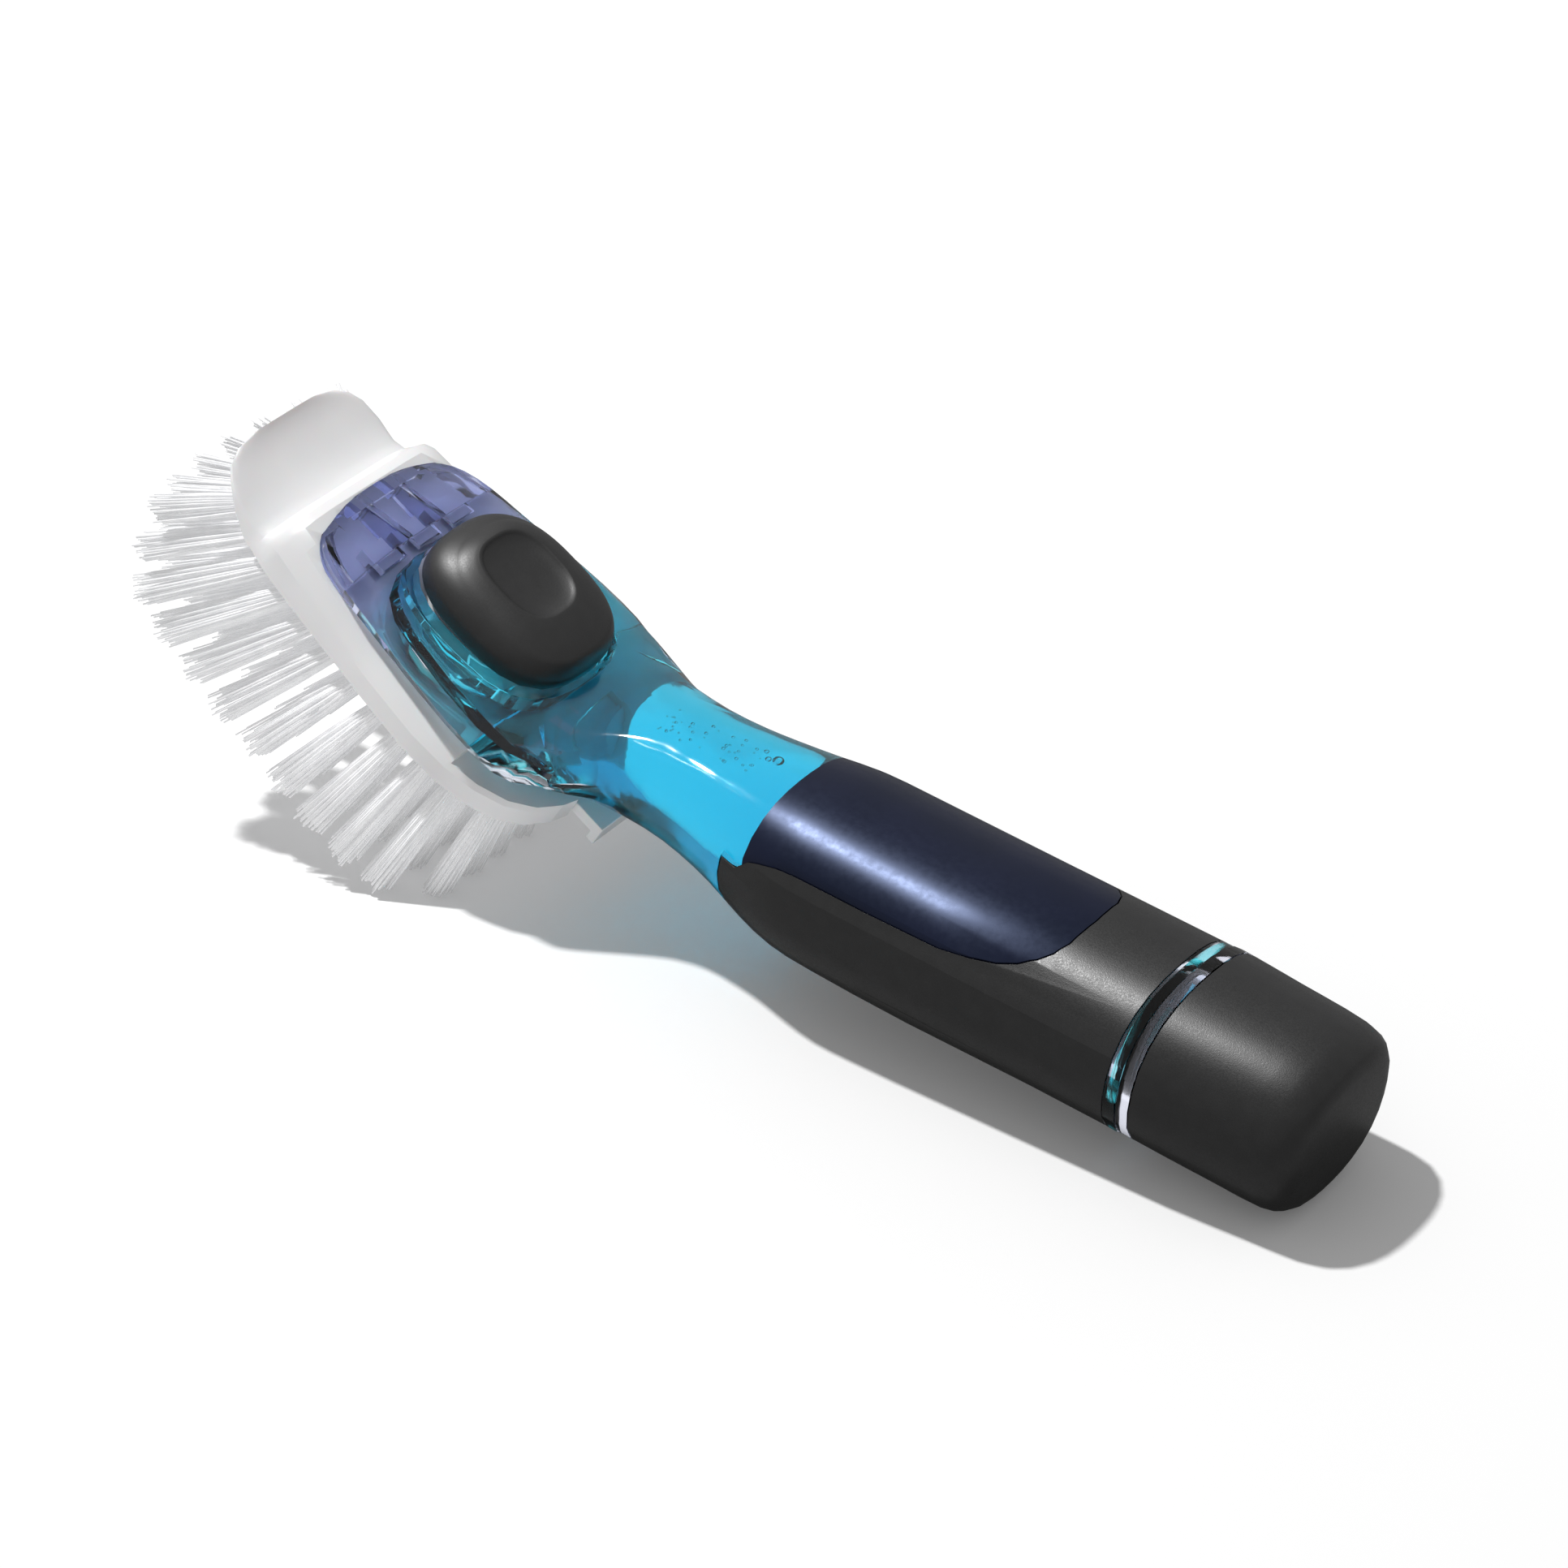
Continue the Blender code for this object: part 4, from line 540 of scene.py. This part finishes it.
# tufts, in mm along the head: the bed is place, width and rise in shares, the lip is place and rise
tufts = {"rows": 12, "columns": 7, "perTuft": 60, "strandSides": 4, "strandRadius": 0.30, "tipRadius": 0.22,
         "length": 38.8, "noseLength": 24.5, "shorterFrom": 20.0, "ragged": 0.075, "rooted": 0.3,
         "rootSpread": 1.2, "rootRise": 0.5, "mostStretch": 2.0, "tipSpread": 3.7, "tipShare": 0.62,
         "turnEach": 2.39996, "turnScatter": 0.3, "wander": 0.35, "bow": 0.12, "aboveFloor": 0.4,
         "uprightAt": -28.0, "frontLean": 54, "backLean": 8, "sideLean": 20, "noseSideLean": 38,
         "leanPower": 1.25, "bedBack": 40.6, "bedFront": 43.8, "firstInset": 3.0, "lastInset": 4.0,
         "clear": 2.6, "ceiling": -11.2, "gap": 0.3, "backing": 1.5, "baseHalf": 28.1, "lipRise": 1.6,
         "splits": (3, 7), "halfSplit": 0.15, "spoutRoom": 8.5, "blockLow": -15.4, "seed": 21,
         "smoothAngle": 100,
         "lip": ((0.0, 0.0), (36.96, 0.0), (42.5, 3.515), (47.26, 6.745), (50.05, 7.79), (51.96, 8.835)),
         "bed": ((-1.0, 0.68, 0.0), (-0.94, 0.86, 0.0), (-0.74, 0.955, 0.0), (-0.42, 0.985, 0.0),
                 (-0.12, 0.945, 0.0), (0.23, 0.89, 0.0), (0.43, 0.85, 0.0), (0.64, 0.81, 0.0),
                 (0.78, 0.765, 0.05), (0.87, 0.72, 0.3), (0.95, 0.65, 0.75), (0.99, 0.56, 0.96),
                 (1.0, 0.46, 1.0))}


def bedStations():
    return [(place * (tufts["bedFront"] if place > 0 else tufts["bedBack"]), width * tufts["baseHalf"],
             rise * tufts["lipRise"]) for place, width, rise in tufts["bed"]]


def bedAt(along):
    return rowAt(bedStations(), along)


def backingLow(rise):
    return tufts["ceiling"] - tufts["gap"] - tufts["backing"] + rise


def rowPlace(row):
    first = -tufts["bedBack"] + tufts["firstInset"]
    last = tufts["bedFront"] - tufts["lastInset"]
    return first + (last - first) * row / (tufts["rows"] - 1)


def rowShape(row):
    # how the tufts of one row lean, where they stand and how long they are
    facts = tufts
    along, first, last = rowPlace(row), rowPlace(0), rowPlace(facts["rows"] - 1)
    if along > facts["uprightAt"]:
        lean = math.radians(facts["frontLean"]) * ((along - facts["uprightAt"])
                                                   / (last - facts["uprightAt"])) ** facts["leanPower"]
    else:
        lean = -math.radians(facts["backLean"]) * (facts["uprightAt"] - along) / (facts["uprightAt"] - first)
    edgeLean = math.radians(facts["sideLean"] + (facts["noseSideLean"] - facts["sideLean"])
                            * max(0.0, along / last))
    halfWidth, rise = bedAt(along)
    low = backingLow(rise)
    # the outer tufts stand clear of the block's own lip
    wallDepth = max(0.0, low - facts["blockLow"] - rowAt(facts["lip"], along + facts["clear"])[0])
    aheadBy = wallDepth * abs(math.tan(lean)) + facts["clear"]
    halfWidth = min(halfWidth, bedAt(along + aheadBy / 2)[0], bedAt(along - facts["clear"])[0])
    halfWidth -= (facts["clear"] + facts["rootSpread"] / math.cos(edgeLean) ** 2
                  + wallDepth * math.tan(edgeLean) / math.cos(lean))
    tipSpread = min(facts["tipSpread"], facts["tipShare"] * 2 * halfWidth / (facts["columns"] - 1))
    shorter = max(0.0, (along - facts["shorterFrom"]) / (last - facts["shorterFrom"])) ** 2
    length = facts["length"] - (facts["length"] - facts["noseLength"]) * shorter
    return along, lean, edgeLean, halfWidth, low, tipSpread, length


def strandPaths():
    # root, middle and tip of each filament in the head's axes, in mm
    facts = tufts
    spread = random.Random(facts["seed"])
    aboveFloor = facts["aboveFloor"] / 1000
    paths = []
    for row in range(facts["rows"]):
        along, lean, edgeLean, halfWidth, low, tipSpread, length = rowShape(row)
        stretch = min(1 / math.cos(lean), facts["mostStretch"])
        for column in range(facts["columns"]):
            side = 2 * column / (facts["columns"] - 1) - 1
            across = side * halfWidth
            # no tuft where the spout comes through
            if math.hypot(along + brushPose["buttonBack"] * 1000, across) < facts["spoutRoom"]:
                continue
            sideLean = edgeLean * side
            splay = 1 / math.cos(sideLean) ** 2
            heading = Vector((-math.sin(lean) * math.cos(sideLean), math.sin(sideLean),
                              -math.cos(lean) * math.cos(sideLean)))
            sideways = Vector((0, 1, 0)).cross(heading).normalized()
            other = heading.cross(sideways)
            for k in range(facts["perTuft"]):
                radius = math.sqrt((k + 0.5) / facts["perTuft"])
                turn = k * facts["turnEach"] + spread.uniform(-facts["turnScatter"], facts["turnScatter"])
                offX, offY = radius * math.cos(turn), radius * math.sin(turn)
                root = Vector((-along + stretch * facts["rootSpread"] * offX,
                               across + splay * facts["rootSpread"] * offY, low + facts["rootRise"]))
                reach = length * (1 - spread.uniform(0, facts["ragged"])) + facts["rooted"]
                tipOff = (sideways * -offX + other * offY) * (tipSpread - facts["rootSpread"])
                wander = (sideways * spread.uniform(-1, 1) + other * spread.uniform(-1, 1)) * facts["wander"]
                tip = root + heading * reach + tipOff + wander
                rootHeight, tipHeight = placeIn(headAxes, root).z, placeIn(headAxes, tip).z
                if tipHeight < aboveFloor:
                    tip = root + (tip - root) * ((rootHeight - aboveFloor) / (rootHeight - tipHeight))
                paths.append((root, (root + tip) / 2 + tipOff * facts["bow"], tip))
    return paths


def makeStrand():
    # one filament, with a ring at its root, middle and tip
    bpy.ops.object.select_all(action="DESELECT")
    bpy.ops.mesh.primitive_cylinder_add(vertices=tufts["strandSides"], radius=1, depth=1, end_fill_type="NGON",
                                        location=(0, 0, 0))
    strand = bpy.context.active_object
    bpy.ops.object.mode_set(mode="EDIT")
    bpy.ops.mesh.select_all(action="SELECT")
    bpy.ops.mesh.bisect(plane_co=(0, 0, 0), plane_no=(0, 0, 1))
    bpy.ops.object.mode_set(mode="OBJECT")
    return strand


def makeBacking(pieceName, low, high):
    # the strip that a field's tufts are set in
    inner = [row[0] for row in bedStations() if low < row[0] < high]
    rings = []
    for along in [low] + inner + [high]:
        halfWidth, rise = bedAt(along)
        halfWidth -= tufts["gap"]
        bottom = backingLow(rise)
        top = bottom + tufts["backing"]
        corners = ((-halfWidth, bottom), (halfWidth, bottom), (halfWidth, top), (-halfWidth, top))
        rings.append([placeIn(headAxes, (-along, y, z)) for y, z in corners])
    return extrudeThrough(pieceName, rings)


def plantStrand(field, strand, path):
    # a copy of the filament, its three rings moved to the path
    root, middle, tip = path
    field.from_mesh(strand.data)
    field.verts.ensure_lookup_table()
    turn = (tip - root).normalized().to_track_quat("Z", "Y").to_matrix()
    for vert in field.verts[-len(strand.data.vertices):]:
        if vert.co.z < -0.25:
            place, radius = root, tufts["strandRadius"]
        elif vert.co.z < 0.25:
            place, radius = middle, tufts["strandRadius"]
        else:
            place, radius = tip, tufts["tipRadius"]
        vert.co = placeIn(headAxes, place + turn @ Vector((vert.co.x * radius, vert.co.y * radius, 0)))


def buildTufts():
    facts = tufts
    strand = makeStrand()
    paths = strandPaths()
    behind, ahead = [rowPlace(row - 0.5) for row in facts["splits"]]
    fields = (("rearTufts", "bristles_rear", -facts["bedBack"] + facts["gap"], behind - facts["halfSplit"]),
              ("middleTufts", "bristles_middle", behind + facts["halfSplit"], ahead - facts["halfSplit"]),
              ("frontTufts", "bristles_front", ahead + facts["halfSplit"], facts["bedFront"] - facts["gap"]))
    for pieceName, nodeName, low, high in fields:
        piece = makeBacking(pieceName, low, high)
        field = bmesh.new()
        field.from_mesh(piece.data)
        for path in paths:
            if low < -path[0].x <= high:
                plantStrand(field, strand, path)
        field.to_mesh(piece.data)
        field.free()
        piece.data.update()
        selectOnly(piece)
        smoothByAngle(facts["smoothAngle"])
        giveMaterial(piece, tuftNylon)
        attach(piece, "brush_head")
        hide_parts(nodeName)
    bpy.data.objects.remove(strand, do_unlink=True)


buildTufts()
print("tufts done")


# return spring, a smoothed copy of its node, with its axis, its lower end on the plate and its pressed share
# listed
coil = {"axis": (0.523986, 0, 0.851727), "lowEnd": (-0.0642, 0, 0.0559), "pressed": 0.715, "smoothAngle": 60}

returnCoil = softenedCopy("return_spring", "returnCoil", "handle", springWire, coil["smoothAngle"])
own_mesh(returnCoil)
print("return spring done")


# materials on the nodes that stay
nodeFinishes = {"cap_gasket": sealGrey, "rod_seal": sealGrey, "valve_poppet": sealGrey, "valve_seat": sealGrey,
                "head_gasket": sealGrey, "outlet_grommet": sealGrey, "button_plate": guideWhite,
                "plunger_rod": guideWhite, "plunger_clip": guideWhite, "inlet_strainer": guideWhite,
                "chamber_floor": clearPlastic, "tab_pin": springWire}
for nodeName, made in nodeFinishes.items():
    giveMaterial(nodes[nodeName], made)
print("nodes finished")


# floor, light and camera
studio = {"floorSize": 6.0, "floorWhite": 0.90, "floorMirrored": 0.22, "floorLift": 0.07, "floorThrough": 0.92,
          "fill": 0.32, "seenWorld": 1.0,
          "lampFrom": (-0.456, -0.035, 1.0), "lampAway": 4.0, "lampSize": 0.20, "lampPower": 132,
          "camera": (0.5181, -0.6770, 0.6302), "lookAt": (-0.0057, 0.0179, 0.0271), "lens": 116.35,
          "sensor": 36, "nearest": 0.01}


def addMath(tree, operation):
    node = addNode(tree, "ShaderNodeMath")
    node.operation = operation
    return node


def colourSockets(sockets):
    return {socket.name: socket for socket in sockets if socket.type == "RGBA"}


def buildFloor():
    # darker in reflections, and lit up where it is seen directly or through the clear plastic
    bpy.ops.object.select_all(action="DESELECT")
    bpy.ops.mesh.primitive_plane_add(size=studio["floorSize"], location=(0, 0, 0))
    floor = bpy.context.active_object
    floor.name = "studioFloor"
    made = newMaterial("floorWhite", (studio["floorWhite"],) * 3, 0.9, Specular_IOR_Level=0.0,
                       Emission_Color=(1, 1, 1, 1))
    tree = made.node_tree
    ray = addNode(tree, "ShaderNodeLightPath")
    lift = addMath(tree, "MULTIPLY")
    lift.inputs[1].default_value = studio["floorLift"]
    through = addMath(tree, "MULTIPLY_ADD")
    through.inputs[1].default_value = studio["floorThrough"]
    tree.links.new(ray.outputs["Is Camera Ray"], lift.inputs[0])
    tree.links.new(ray.outputs["Is Transmission Ray"], through.inputs[0])
    tree.links.new(lift.outputs[0], through.inputs[2])
    feedShader(made, through.outputs[0], "Emission Strength")
    mirrored = addNode(tree, "ShaderNodeMix")
    mirrored.data_type = "RGBA"
    for name, white in (("A", studio["floorWhite"]), ("B", studio["floorMirrored"])):
        colourSockets(mirrored.inputs)[name].default_value = (white, white, white, 1)
    tree.links.new(ray.outputs["Is Glossy Ray"], mirrored.inputs["Factor"])
    feedShader(made, colourSockets(mirrored.outputs)["Result"], "Base Color")
    giveMaterial(floor, made)


def buildWorld():
    # a soft fill that looks white where it is seen directly or through the clear plastic
    world = bpy.data.worlds.new("studioWorld")
    bpy.context.scene.world = world
    world.use_nodes = True
    tree = world.node_tree
    background = setSockets(tree.nodes["Background"], {"Color": (1, 1, 1, 1)})
    ray = addNode(tree, "ShaderNodeLightPath")
    seen = addMath(tree, "MAXIMUM")
    strength = addNode(tree, "ShaderNodeMapRange", To_Min=studio["fill"], To_Max=studio["seenWorld"])
    tree.links.new(ray.outputs["Is Camera Ray"], seen.inputs[0])
    tree.links.new(ray.outputs["Is Transmission Ray"], seen.inputs[1])
    tree.links.new(seen.outputs[0], strength.inputs["Value"])
    tree.links.new(strength.outputs["Result"], background.inputs["Strength"])


def buildLampAndCamera():
    away = Vector(studio["lampFrom"]).normalized() * studio["lampAway"]
    bpy.ops.object.light_add(type="AREA", location=away)
    lamp = bpy.context.active_object
    lamp.name = "keyLamp"
    lamp.data.shape = "DISK"
    lamp.data.size = studio["lampSize"]
    lamp.data.energy = studio["lampPower"]
    lamp.rotation_euler = (-away).to_track_quat("-Z", "Y").to_euler()

    bpy.ops.object.camera_add(location=studio["camera"])
    camera = bpy.context.active_object
    camera.data.lens = studio["lens"]
    camera.data.sensor_width = studio["sensor"]
    camera.data.clip_start = studio["nearest"]
    aim = Vector(studio["lookAt"]) - Vector(studio["camera"])
    camera.rotation_euler = aim.to_track_quat("-Z", "Y").to_euler()
    bpy.context.scene.camera = camera
    bpy.context.scene.view_settings.view_transform = "Standard"


buildFloor()
buildWorld()
buildLampAndCamera()
print("studio done")
